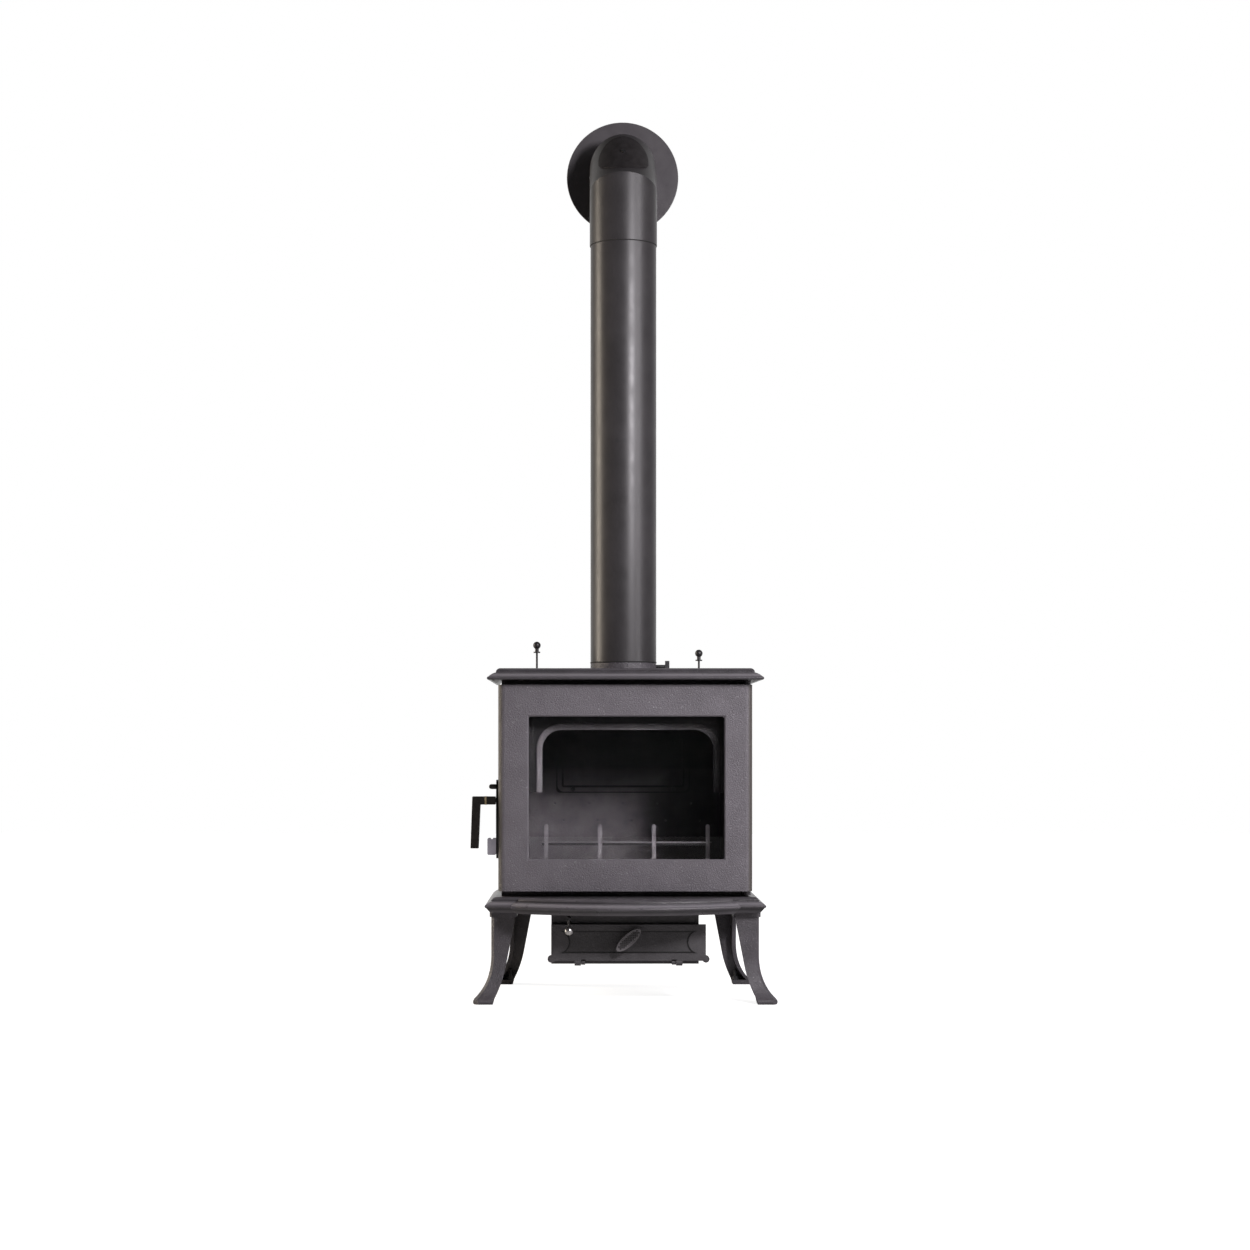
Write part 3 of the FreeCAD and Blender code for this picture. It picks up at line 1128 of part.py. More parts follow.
def ash_box_bolt_places():
    x = ASH_BOX_HALF_WIDTH + ASH_BOX_FLANGE / 2
    ys = (BODY_FRONT + 2 * ASH_BOX_FLANGE, ASH_BOX_REAR - 2 * ASH_BOX_FLANGE)
    return [(side * x, y) for side in (-1, 1) for y in ys]


def ash_knuckle_centres():
    return [(side, ASH_DOOR_CENTRE + side * ASH_HINGE_OFFSET) for side in (-1, 1)]


def ash_ear_span(side, centre):
    """Width of the box's hinge ear, on the inner side of the door's knuckle."""
    near = centre - side * (ASH_KNUCKLE_WIDTH / 2 + HINGE_GAP / 2)
    return sorted((near, near - side * ASH_EAR_WIDTH))


def ash_ear(side, centre):
    low, high = ash_ear_span(side, centre)
    arm = box(low, high, ASH_HINGE_Y, BODY_FRONT, ASH_HINGE_Z - ASH_EAR_RADIUS,
              ASH_HINGE_Z + ASH_EAR_RADIUS)
    start = Vector(low, ASH_HINGE_Y, ASH_HINGE_Z)
    eye = rod(ASH_EAR_RADIUS, start, ALONG_X, ASH_EAR_WIDTH)
    return less(fused(arm, eye), rod(ASH_PIN_RADIUS + PIN_PLAY, start, ALONG_X, ASH_EAR_WIDTH))


def ash_box():
    """Box hung under the base plate, open at the top and with a mouth at the front."""
    half = ASH_BOX_HALF_WIDTH
    wall = ASH_BOX_WALL
    shell = box(-half, half, BODY_FRONT, ASH_BOX_REAR, ASH_BOX_BOTTOM, BASE_FLOOR)
    flange = box(-half - ASH_BOX_FLANGE, half + ASH_BOX_FLANGE, BODY_FRONT, ASH_BOX_REAR,
                 BASE_FLOOR - wall, BASE_FLOOR)
    inside = box(wall - half, half - wall, BODY_FRONT + wall, ASH_BOX_REAR - wall, ASH_BOX_BOTTOM + wall,
                 BASE_FLOOR)
    mouth = half - ASH_MOUTH_INSET
    holes = [rounded_block(ALONG_Y, wall, -mouth, mouth, BODY_FRONT, BODY_FRONT + wall, ASH_MOUTH_BOTTOM,
                           ASH_MOUTH_TOP)]
    holes.append(rod(RIDDLE_ROD_RADIUS + SLIDE_PLAY, Vector(RIDDLE_X, BODY_FRONT, RIDDLE_Z), ALONG_Y, wall))
    for x, y in ash_box_bolt_places():
        holes.append(rod(BOX_BOLT_RADIUS + BOLT_PLAY, Vector(x, y, BASE_FLOOR - wall), ALONG_Z, wall))
    ears = [ash_ear(side, centre) for side, centre in ash_knuckle_centres()]
    return less(fused(less(fused(shell, flange), inside), *ears), *holes)


def ash_box_bolts():
    bolts = []
    for x, y in ash_box_bolt_places():
        seat = Vector(x, y, BASE_FLOOR - ASH_BOX_WALL)
        head = hexagon(2 * BOX_BOLT_RADIUS, seat - ALONG_Z * BOX_BOLT_RADIUS, ALONG_Z, BOX_BOLT_RADIUS)
        shank = rod(BOX_BOLT_RADIUS, seat, ALONG_Z, ASH_BOX_WALL + BOX_BOLT_DEPTH - HINGE_GAP)
        bolts.append(fused(head, shank))
    return bolts


def ash_pan():
    """Lift-out pan on the floor of the ash box, with a folded grip along its front."""
    half = ASH_BOX_HALF_WIDTH - ASH_BOX_WALL - ASH_PAN_SIDE_GAP
    floor = ASH_BOX_BOTTOM + ASH_BOX_WALL
    rear = ASH_BOX_REAR - ASH_BOX_WALL - ASH_PAN_SIDE_GAP
    top = floor + ASH_PAN_HEIGHT
    wall = ASH_PAN_WALL
    shell = rounded_block(ALONG_Z, ASH_PAN_SIDE_GAP, -half, half, ASH_PAN_FRONT, rear, floor, top)
    inside = rounded_block(ALONG_Z, ASH_PAN_SIDE_GAP - wall, wall - half, half - wall,
                           ASH_PAN_FRONT + wall, rear - wall,
                           floor + wall, top)
    grip = box(-ASH_PAN_GRIP, ASH_PAN_GRIP, ASH_PAN_FRONT - 2 * wall, ASH_PAN_FRONT, top - wall, top)
    return fused(less(shell, inside), grip)


def scalloped_panel():
    """Sunk field of the ash door: straight top and bottom, ends drawn in by an arc."""
    y = ASH_DOOR_FACE
    half = ASH_DOOR_HALF_WIDTH - ASH_PANEL_INSET
    middle = (ASH_PANEL_BOTTOM + ASH_PANEL_TOP) / 2
    edges = []
    for side in (-1, 1):
        end = ASH_DOOR_CENTRE + side * half
        edges.append(arc(Vector(end, y, ASH_PANEL_BOTTOM), Vector(end - side * ASH_PANEL_SCALLOP, y,
                                                                  middle),
                         Vector(end, y, ASH_PANEL_TOP)))
    for z in (ASH_PANEL_BOTTOM, ASH_PANEL_TOP):
        edges.append(line(Vector(ASH_DOOR_CENTRE - half, y, z), Vector(ASH_DOOR_CENTRE + half, y, z)))
    return Part.Face(wire_of(edges)).extrude(ALONG_Y * ASH_PANEL_DEPTH)


def ash_door():
    """Drop-down ash door with hinge knuckles under it and a rounded lobe at each lower corner."""
    low = ASH_DOOR_CENTRE - ASH_DOOR_HALF_WIDTH
    high = ASH_DOOR_CENTRE + ASH_DOOR_HALF_WIDTH
    pieces = [box(low, high, ASH_DOOR_FACE, ASH_DOOR_REAR, ASH_DOOR_BOTTOM, ASH_DOOR_TOP)]
    holes = [scalloped_panel()]
    for x in (low, high):
        start = Vector(x, ASH_DOOR_FACE, ASH_DOOR_BOTTOM + ASH_LOBE_RADIUS / 2)
        pieces.append(rod(ASH_LOBE_RADIUS, start, ALONG_Y, ASH_DOOR_THICKNESS))
    for side, centre in ash_knuckle_centres():
        start = Vector(centre - ASH_KNUCKLE_WIDTH / 2, ASH_HINGE_Y, ASH_HINGE_Z)
        pieces.append(rod(ASH_KNUCKLE_RADIUS, start, ALONG_X, ASH_KNUCKLE_WIDTH))
        holes.append(rod(ASH_PIN_RADIUS + PIN_PLAY, start, ALONG_X, ASH_KNUCKLE_WIDTH))
        ear_low, ear_high = ash_ear_span(side, centre)
        holes.append(box(ear_low - HINGE_GAP / 2, ear_high + HINGE_GAP, ASH_DOOR_FACE, ASH_DOOR_REAR,
                         ASH_DOOR_BOTTOM, ASH_HINGE_Z + ASH_EAR_RADIUS + 2 * HINGE_GAP))
    holes.append(rod(ASH_SHAFT_RADIUS + PIN_PLAY, Vector(ASH_DOOR_CENTRE, ASH_DOOR_FACE, ASH_KNOB_Z),
                     ALONG_Y,
                     ASH_DOOR_THICKNESS))
    return less(fused(*pieces), *holes)


def ash_hinge_pins():
    pins = []
    for side, centre in ash_knuckle_centres():
        low, high = ash_ear_span(side, centre)
        start = min(low, centre - ASH_KNUCKLE_WIDTH / 2)
        length = ASH_KNUCKLE_WIDTH + HINGE_GAP / 2 + ASH_EAR_WIDTH
        pins.append(rod(ASH_PIN_RADIUS, Vector(start, ASH_HINGE_Y, ASH_HINGE_Z), ALONG_X, length))
    return Part.makeCompound(pins)


def ash_door_rope():
    half = ASH_BOX_HALF_WIDTH - ASH_MOUTH_INSET + ASH_ROPE_MARGIN
    front, rear = ASH_DOOR_REAR, BODY_FRONT - SLIDE_PLAY
    low = ASH_MOUTH_BOTTOM - ASH_ROPE_MARGIN
    high = ASH_MOUTH_TOP + ASH_ROPE_MARGIN
    width = ASH_ROPE_WIDTH
    outer = rounded_block(ALONG_Y, width, -half - width, half + width, front, rear, low - width,
                          high + width)
    return less(outer, box(-half, half, front, rear, low, high))


def oval(half_length, half_width, y0, y1):
    """Oval disc on the ash door's knob axis, tilted as the knob stands."""
    centre = Vector(ASH_DOOR_CENTRE, y0, ASH_KNOB_Z)
    turn = math.radians(ASH_KNOB_TILT)
    ellipse = Part.Ellipse(centre + Vector(math.cos(turn), 0, math.sin(turn)) * half_length,
                           centre + Vector(-math.sin(turn), 0, math.cos(turn)) * half_width, centre)
    return Part.Face(Part.Wire(ellipse.toShape())).extrude(ALONG_Y * (y1 - y0))


def ash_knob():
    """Oval turn knob on a round neck, with a raised rim, and a shaft through the ash door."""
    rear = ASH_DOOR_FACE - ASH_KNOB_STAND
    front = rear - ASH_KNOB_THICKNESS
    disc = oval(ASH_KNOB_HALF_LENGTH, ASH_KNOB_HALF_WIDTH, front, rear)
    dish = oval(ASH_KNOB_HALF_LENGTH - ASH_KNOB_RIM, ASH_KNOB_HALF_WIDTH - ASH_KNOB_RIM, front,
                front + ASH_KNOB_RIM / 2)
    neck = rod(2 * ASH_SHAFT_RADIUS, Vector(ASH_DOOR_CENTRE, rear, ASH_KNOB_Z), ALONG_Y,
               ASH_KNOB_STAND + ASH_PANEL_DEPTH - SLIDE_PLAY)
    shaft = rod(ASH_SHAFT_RADIUS, Vector(ASH_DOOR_CENTRE, rear, ASH_KNOB_Z), ALONG_Y,
                ash_latch_front() - rear)
    return fused(less(disc, dish), neck, shaft)


def ash_latch_front():
    return BODY_FRONT + ASH_BOX_WALL + ASH_LATCH_GAP


def ash_latch_bar():
    """Single-armed bar on the knob's shaft that turns up behind the rim of the box's mouth."""
    front = ash_latch_front()
    half = ASH_LATCH_HALF_WIDTH
    arm = box(ASH_DOOR_CENTRE, ASH_DOOR_CENTRE + ASH_LATCH_REACH, front, front + ASH_LATCH_THICKNESS,
              ASH_KNOB_Z - half, ASH_KNOB_Z + half)
    axis = Vector(ASH_DOOR_CENTRE, front, ASH_KNOB_Z)
    hub = rod(2 * ASH_SHAFT_RADIUS, axis, ALONG_Y, ASH_LATCH_THICKNESS)
    return fused(arm, hub).rotated(axis, ALONG_Y, -ASH_KNOB_TILT)


def riddle_rod():
    """Push-pull rod through the box's front, turned down to a short stem for the ball."""
    front = Vector(RIDDLE_X, RIDDLE_FRONT - RIDDLE_STEM_RADIUS, RIDDLE_Z)
    bar = rod(RIDDLE_ROD_RADIUS, front, ALONG_Y, RIDDLE_REAR + SHAKER_LUG - front.y)
    top = Vector(RIDDLE_X, RIDDLE_FRONT, RIDDLE_Z)
    stem = rod(RIDDLE_STEM_RADIUS, top - ALONG_Z * RIDDLE_BALL_DROP, ALONG_Z, RIDDLE_BALL_DROP)
    return fused(bar, stem)


def riddle_ball():
    centre = Vector(RIDDLE_X, RIDDLE_FRONT, RIDDLE_Z - RIDDLE_BALL_DROP)
    bore = rod(RIDDLE_STEM_RADIUS + BOLT_PLAY, centre, ALONG_Z, RIDDLE_BALL_DROP)
    return less(Part.makeSphere(RIDDLE_BALL_RADIUS, centre), bore)


def grate_slots(half_width, low, high, y0, y1):
    """Even slots across the grate from side to side, for ash to fall through."""
    pitch = (y1 - y0) / GRATE_SLOTS
    slots = []
    for number in range(GRATE_SLOTS):
        y = y0 + (number + 0.5) * pitch
        slots.append(rounded_block(ALONG_Z, GRATE_SLOT_WIDTH / 3, -half_width, half_width,
                                   y - GRATE_SLOT_WIDTH / 2,
                                   y + GRATE_SLOT_WIDTH / 2, low, high))
    return slots


def grate_frame():
    """Fixed grate lying over the ash opening in the base plate."""
    half = GRATE_HALF_WIDTH + GRATE_LAP
    plate = rounded_block(ALONG_Z, GRATE_LAP / 2, -half, half, GRATE_FRONT - GRATE_LAP,
                          GRATE_REAR + GRATE_LAP,
                          BASE_TOP, BASE_TOP + GRATE_THICKNESS)
    return less(plate, *grate_slots(GRATE_HALF_WIDTH - GRATE_LAP, BASE_TOP, BASE_TOP + GRATE_THICKNESS,
                                    GRATE_FRONT, GRATE_REAR))


def shaker_low():
    return BASE_FLOOR - SHAKER_HANG


def shaker_grate():
    """Sliding plate under the grate, with a lug for the riddling rod."""
    low = shaker_low()
    plate = box(-SHAKER_HALF_WIDTH, SHAKER_HALF_WIDTH, GRATE_FRONT, GRATE_REAR, low, low + SHAKER_THICKNESS)
    lug_foot = RIDDLE_Z - 2 * RIDDLE_ROD_RADIUS
    lug = box(RIDDLE_X - SHAKER_LUG, RIDDLE_X + SHAKER_LUG, RIDDLE_REAR - SHAKER_LUG,
              RIDDLE_REAR + SHAKER_LUG, lug_foot, low)
    bore = rod(RIDDLE_ROD_RADIUS + BOLT_PLAY, Vector(RIDDLE_X, RIDDLE_REAR - SHAKER_LUG, RIDDLE_Z),
               ALONG_Y, 2 * SHAKER_LUG)
    slots = grate_slots(GRATE_HALF_WIDTH - GRATE_LAP, low, low + SHAKER_THICKNESS, GRATE_FRONT, GRATE_REAR)
    return less(fused(plate, lug), bore, *slots)


def grate_rails():
    """Two angle rails under the base plate that carry the shaker grate."""
    rails = []
    low = shaker_low() - SLIDE_PLAY - RAIL_THICKNESS
    inner = SHAKER_HALF_WIDTH + SLIDE_PLAY
    outer = inner + RAIL_THICKNESS
    front = GRATE_FRONT - RIDDLE_STROKE
    rear = GRATE_REAR + RIDDLE_STROKE
    for side in (-1, 1):
        web = sorted((side * inner, side * outer))
        flange = sorted((side * (inner - 2 * RAIL_THICKNESS), side * outer))
        rails.append(fused(box(*web, front, rear, low, BASE_FLOOR),
                           box(*flange, front, rear, low, low + RAIL_THICKNESS)))
    return Part.makeCompound(rails)


def air_controls():
    """Place, ball height and travel down and up of each air control."""
    return [(AIR_LEFT_X, AIR_LEFT_BALL, SHUTTER_LEFT_TRAVEL_DOWN, 0),
            (AIR_RIGHT_X, AIR_RIGHT_BALL, SHUTTER_RIGHT_TRAVEL_DOWN, SHUTTER_RIGHT_TRAVEL_UP)]


def knob_foot(ball):
    return ball - AIR_BALL_RADIUS - AIR_COLLAR_HEIGHT - AIR_FLANGE_HEIGHT


def air_rod(x, ball):
    """Air-control rod, ending above the top plate in a ball knob with a collar and a flange."""
    stem = rod(AIR_ROD_RADIUS, Vector(x, AIR_ROD_Y, ball - AIR_ROD_LENGTH), ALONG_Z, AIR_ROD_LENGTH)
    foot = knob_foot(ball)
    sphere = Part.makeSphere(AIR_BALL_RADIUS, Vector(x, AIR_ROD_Y, ball))
    collar = rod(AIR_COLLAR_RADIUS, Vector(x, AIR_ROD_Y, foot), ALONG_Z, ball - foot)
    flange = rod(AIR_FLANGE_RADIUS, Vector(x, AIR_ROD_Y, foot), ALONG_Z, AIR_FLANGE_HEIGHT)
    return fused(stem, sphere, collar, flange)


def air_shutter(x, ball):
    """Shutter over an air port, with a lug that grips the rod."""
    foot = shutter_foot(ball)
    face = BODY_BACK + SLIDE_PLAY
    plate = box(x - SHUTTER_HALF_WIDTH, x + SHUTTER_HALF_WIDTH, face, face + SHUTTER_THICKNESS, foot,
                foot + SHUTTER_HEIGHT)
    grip = 3 * AIR_ROD_RADIUS
    rod_foot = ball - AIR_ROD_LENGTH
    lug = rounded_block(ALONG_Z, AIR_ROD_RADIUS, x - grip, x + grip, face, AIR_ROD_Y + grip, rod_foot,
                        rod_foot + 2 * grip)
    return less(fused(plate, lug), rod(AIR_ROD_RADIUS + BOLT_PLAY, Vector(x, AIR_ROD_Y, rod_foot),
                                       ALONG_Z, 2 * grip))


def collar_screw_places():
    """Top face points under the flue collar's wall where its screws come up."""
    radius = (COLLAR_BORE + PIPE_RADIUS) / 2
    places = []
    for number in range(COLLAR_SCREWS):
        turn = math.radians(90 + 360 * number / COLLAR_SCREWS)
        places.append(Vector(radius * math.cos(turn), FLUE_Y + radius * math.sin(turn), TOP_FACE))
    return places


def flue_collar():
    """Cast ring on the top plate, with a spigot for the pipe and bores for the damper's spindle."""
    base = Vector(0, FLUE_Y, TOP_FACE)
    shoulder = base + ALONG_Z * COLLAR_HEIGHT
    spigot_radius = PIPE_RADIUS - PIPE_WALL - SPIGOT_PLAY
    body = fused(rod(PIPE_RADIUS, base, ALONG_Z, COLLAR_HEIGHT),
                 rod(spigot_radius, shoulder, ALONG_Z, SPIGOT_HEIGHT))
    holes = [rod(COLLAR_BORE, base, ALONG_Z, COLLAR_HEIGHT)]
    holes.append(rod(spigot_radius - SPIGOT_WALL, shoulder, ALONG_Z, SPIGOT_HEIGHT))
    holes.append(rod(DAMPER_SPINDLE_RADIUS + PIN_PLAY, Vector(damper_start(), FLUE_Y, DAMPER_Z), ALONG_X,
                     PIPE_RADIUS - damper_start()))
    for place in collar_screw_places():
        holes.append(rod(COLLAR_SCREW_RADIUS + BOLT_PLAY, place, ALONG_Z, COLLAR_SCREW_DEPTH))
    return less(body, *holes)


def collar_screws():
    screws = []
    for place in collar_screw_places():
        seat = place - ALONG_Z * WALL
        head = rod(2 * COLLAR_SCREW_RADIUS, seat - ALONG_Z * COLLAR_SCREW_RADIUS, ALONG_Z,
                   COLLAR_SCREW_RADIUS)
        screws.append(fused(head, rod(COLLAR_SCREW_RADIUS, seat, ALONG_Z,
                                      WALL + COLLAR_SCREW_DEPTH - HINGE_GAP)))
    return screws


def damper_start():
    """Far end of the damper's spindle, halfway into the collar's wall."""
    return -(COLLAR_BORE + PIPE_RADIUS) / 2


def damper_plate():
    """Butterfly disc in the flue, with a hub along the spindle."""
    centre = Vector(0, FLUE_Y, DAMPER_Z)
    disc = rod(DAMPER_RADIUS, centre - ALONG_Y * (DAMPER_THICKNESS / 2), ALONG_Y, DAMPER_THICKNESS)
    start = centre - ALONG_X * DAMPER_HUB_HALF_LENGTH
    hub = rod(DAMPER_HUB_RADIUS, start, ALONG_X, 2 * DAMPER_HUB_HALF_LENGTH)
    bore = rod(DAMPER_SPINDLE_RADIUS + BOLT_PLAY, centre - ALONG_X * DAMPER_RADIUS, ALONG_X,
               2 * DAMPER_RADIUS)
    return less(fused(disc, hub), bore)


def damper_end():
    return DAMPER_LEVER_X + DAMPER_LEVER_WIDTH / 2


def damper_spindle():
    return rod(DAMPER_SPINDLE_RADIUS, Vector(damper_start() + SLIDE_PLAY, FLUE_Y, DAMPER_Z), ALONG_X,
               damper_end() - damper_start() - SLIDE_PLAY)


def damper_lever():
    """Upright fin on the end of the damper's spindle, tapering to its tip."""
    low = DAMPER_LEVER_X - DAMPER_LEVER_WIDTH / 2
    grip = DAMPER_SPINDLE_RADIUS + DAMPER_LEVER_RIM
    levels = []
    for z, half in ((DAMPER_Z - grip, grip), (DAMPER_Z + DAMPER_LEVER_RISE, grip / 2)):
        corners = [Vector(low, FLUE_Y - half, z), Vector(damper_end(), FLUE_Y - half, z),
                   Vector(damper_end(), FLUE_Y + half, z), Vector(low, FLUE_Y + half, z)]
        levels.append(Part.makePolygon(corners + [corners[0]]))
    fin = Part.makeLoft(levels, True, True)
    return less(fin, rod(DAMPER_SPINDLE_RADIUS + BOLT_PLAY, Vector(low, FLUE_Y, DAMPER_Z), ALONG_X,
                         DAMPER_LEVER_WIDTH))


def flue_pipe():
    base = Vector(0, FLUE_Y, TOP_FACE + COLLAR_HEIGHT)
    length = PIPE_TOP + PIPE_LAP - base.z
    return less(rod(PIPE_RADIUS, base, ALONG_Z, length), rod(PIPE_RADIUS - PIPE_WALL, base, ALONG_Z,
                                                             length))


def elbow_points():
    """Centre line of the elbow: up, aslant at 45 degrees, then back through the wall."""
    low = Vector(0, FLUE_Y, PIPE_TOP)
    first = low + ALONG_Z * ELBOW_RISE
    second = first + (ALONG_Y + ALONG_Z) * ELBOW_SLANT
    return [low, first, second, Vector(0, WALL_Y + OUTLET_LENGTH, second.z)]


def elbow_core(radius):
    points = elbow_points()
    circle = Part.Wire(Part.Circle(points[0], ALONG_Z, radius).toShape())
    path = Part.makePolygon(points)
    return path.makePipeShell([circle], True, False, 1)


def soot_frame():
    """Middle of the elbow's slanting part, with its upward normal and its run."""
    low, first, second, end = elbow_points()
    return (first + second) * 0.5, (ALONG_Z - ALONG_Y).normalize(), (second - first).normalize()


def soot_outline(margin):
    """Outline of the soot cover seen square on: straight foot, domed head."""
    centre, up, run = soot_frame()
    half = SOOT_COVER_HALF_WIDTH - margin
    foot = SOOT_COVER_HALF_HEIGHT - margin
    def at(x, s):
        return centre + ALONG_X * x + run * s
    edges = [line(at(-half, -foot), at(half, -foot)), line(at(half, -foot), at(half, 0))]
    edges += [arc(at(half, 0), at(0, foot), at(-half, 0)), line(at(-half, 0), at(-half, -foot))]
    return Part.Face(wire_of(edges)).extrude(up * (2 * ELBOW_RADIUS))


def outlet_spigot():
    """Swaged end of the elbow that plugs into the chimney: a shoulder and a slightly slimmer stub."""
    low, first, second, end = elbow_points()
    shoulder = Vector(0, WALL_Y + OUTLET_SHOULDER - ELBOW_WALL, second.z)
    inner = ELBOW_RADIUS - OUTLET_SWAGE - ELBOW_WALL
    length = end.y - shoulder.y
    ring = rod(ELBOW_RADIUS, shoulder, ALONG_Y, ELBOW_WALL)
    stub = rod(ELBOW_RADIUS - OUTLET_SWAGE, shoulder, ALONG_Y, length)
    return less(fused(ring, stub), rod(inner, shoulder, ALONG_Y, length))


def flue_elbow():
    """Sheet elbow mitred in three pieces, with a soot hole in its slanting part and a swaged end."""
    tube = less(elbow_core(ELBOW_RADIUS), elbow_core(ELBOW_RADIUS - ELBOW_WALL))
    low, first, second, end = elbow_points()
    shoulder = Vector(0, WALL_Y + OUTLET_SHOULDER - ELBOW_WALL, second.z)
    tube = less(tube, rod(2 * ELBOW_RADIUS, shoulder, ALONG_Y, OUTLET_LENGTH))
    return less(fused(tube, outlet_spigot()), soot_outline(SOOT_HOLE_MARGIN))


def soot_cover():
    """Curved cover over the soot hole, lying close on the elbow."""
    centre, up, run = soot_frame()
    length = 4 * SOOT_COVER_HALF_HEIGHT
    start = centre - run * (length / 2)
    inner = ELBOW_RADIUS + ELBOW_PLAY
    sleeve = less(rod(inner + SOOT_COVER_THICKNESS, start, run, length), rod(inner, start, run, length))
    cover = sleeve.common(soot_outline(0))
    return less(cover, rod(SOOT_SCREW_RADIUS / 2 + BOLT_PLAY, centre, up, 2 * ELBOW_RADIUS))


def soot_cover_screw():
    centre, up, run = soot_frame()
    seat = centre + up * (ELBOW_RADIUS + ELBOW_PLAY + SOOT_COVER_THICKNESS)
    head = rod(SOOT_SCREW_RADIUS, seat, up, SOOT_SCREW_RADIUS)
    shank = rod(SOOT_SCREW_RADIUS / 2, seat - up * (2 * SOOT_SCREW_RADIUS), up, 2 * SOOT_SCREW_RADIUS)
    bar_half = SOOT_COVER_HALF_HEIGHT - SOOT_SCREW_RADIUS
    foot = seat - up * (2 * SOOT_SCREW_RADIUS)
    bar = rod(SOOT_SCREW_RADIUS / 2, foot - run * bar_half, run, 2 * bar_half)
    return fused(head, shank, bar)


def wall_rosette():
    """Wall plate round the outlet, with a short neck and a rounded rim."""
    height = elbow_points()[-1].z
    rear = Vector(0, WALL_Y, height)
    front = rear - ALONG_Y * ROSETTE_THICKNESS
    disc = rod(ROSETTE_RADIUS, front, ALONG_Y, ROSETTE_THICKNESS)
    rim = [edge for edge in disc.Edges if abs(edge.CenterOfMass.y - front.y) < PIN_PLAY]
    disc = disc.makeFillet(ROSETTE_THICKNESS / 2, rim)
    bore = ELBOW_RADIUS + ELBOW_PLAY
    neck = rod(bore + ROSETTE_THICKNESS, front - ALONG_Y * ROSETTE_NECK, ALONG_Y, ROSETTE_NECK)
    hole = rod(bore, front - ALONG_Y * ROSETTE_NECK, ALONG_Y, ROSETTE_NECK + ROSETTE_THICKNESS)
    return less(fused(disc, neck), hole)


def body_screws():
    """Screws of the front frame, the air-wash plate, the rear fire plate and the flue collar."""
    return Part.makeCompound(keeper_screws() + airwash_screws() + rear_plate_bolts() + collar_screws())


def underside_bolts():
    """Bolts that hold the legs and the ash box to the base plate."""
    return Part.makeCompound(leg_bolts() + ash_box_bolts())


def build():
    """Every piece of the stove, by name."""
    pieces = {}
    for (side, end, x, y), name in zip(leg_corners(), ("front_left", "front_right", "rear_left",
                                                       "rear_right")):
        pieces["leg_" + name] = placed_leg(side, end, x, y)
    for name, (x, ball, down, up) in zip(("left", "right"), air_controls()):
        pieces["air_rod_" + name] = air_rod(x, ball)
        pieces["air_shutter_" + name] = air_shutter(x, ball)
    pieces["side_plate_right"] = side_plate()
    pieces["side_plate_left"] = mirrored_x(side_plate())
    pieces["liner_right"] = side_liner()
    pieces["liner_left"] = mirrored_x(side_liner())
    makers = [base_plate, underside_bolts, levelling_screws, top_plate, tie_rods, back_plate, front_frame,
              back_liner,
              throat_baffle, rear_plate, airwash_plate, body_screws, fire_fence,
              door_frame, door_hinge_pins, door_rope, door_glass, glass_gasket, glass_clips,
              glass_clip_screws,
              latch_plate, latch_block, door_handle, handle_ring, handle_spindle, latch_crank,
              latch_keeper, ash_box, ash_pan, ash_door, ash_hinge_pins,
              ash_door_rope, ash_knob, ash_latch_bar, riddle_rod, riddle_ball, grate_frame, shaker_grate,
              grate_rails, flue_collar, damper_plate, damper_spindle, damper_lever, flue_pipe,
              flue_elbow, soot_cover, soot_cover_screw, wall_rosette]
    for maker in makers:
        pieces[maker.__name__] = maker()
    return pieces


os.makedirs("parts", exist_ok=True)
for node, shape in build().items():
    shape.exportStep(os.path.join("parts", node + ".step"))
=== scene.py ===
import math

import bmesh
import bpy
from mathutils import Matrix, Vector


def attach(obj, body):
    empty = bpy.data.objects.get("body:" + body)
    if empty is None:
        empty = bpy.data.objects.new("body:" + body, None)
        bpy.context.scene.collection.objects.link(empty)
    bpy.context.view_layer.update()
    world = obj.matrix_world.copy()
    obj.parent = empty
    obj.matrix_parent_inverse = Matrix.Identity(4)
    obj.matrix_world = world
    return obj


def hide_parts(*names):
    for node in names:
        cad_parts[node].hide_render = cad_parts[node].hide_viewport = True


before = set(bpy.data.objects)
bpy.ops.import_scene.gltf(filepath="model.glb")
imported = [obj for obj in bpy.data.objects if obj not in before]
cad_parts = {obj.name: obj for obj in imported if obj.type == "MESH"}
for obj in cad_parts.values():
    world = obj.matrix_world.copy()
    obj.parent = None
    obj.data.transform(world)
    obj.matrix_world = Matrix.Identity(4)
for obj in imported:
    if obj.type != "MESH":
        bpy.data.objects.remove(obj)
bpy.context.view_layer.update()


# Base plate, top plate, legs and the four walls of the body.
# They are sand-cast iron, left with the grain of the mould and sprayed with matt black stove paint.
# The plates are drawn together by tie rods in the corners, and the legs are bolted up under the base.
NOISE_LOW = 0.3
NOISE_HIGH = 0.7
NOISE_ROUGHNESS = 0.55
BLOTCH_SIZE = 0.05
SHEEN_SIZE = 0.02
SHEEN_SPREAD = 0.07
SAND_SHARE = 0.25
SPECK_SIZE = 0.0045
SPECK_START = 0.7
SPECK_FULL = 0.78
SPECK_COVER = 0.7
# The pale of the specks below is partly dust and chipped iron and partly painted glints.
SPECK_AND_GLINT_COLOUR = (0.22, 0.21, 0.225)


def finish(name):
    made = bpy.data.materials.new(name)
    made.use_nodes = True
    return made, made.node_tree.nodes, made.node_tree.links, made.node_tree.nodes["Principled BSDF"]


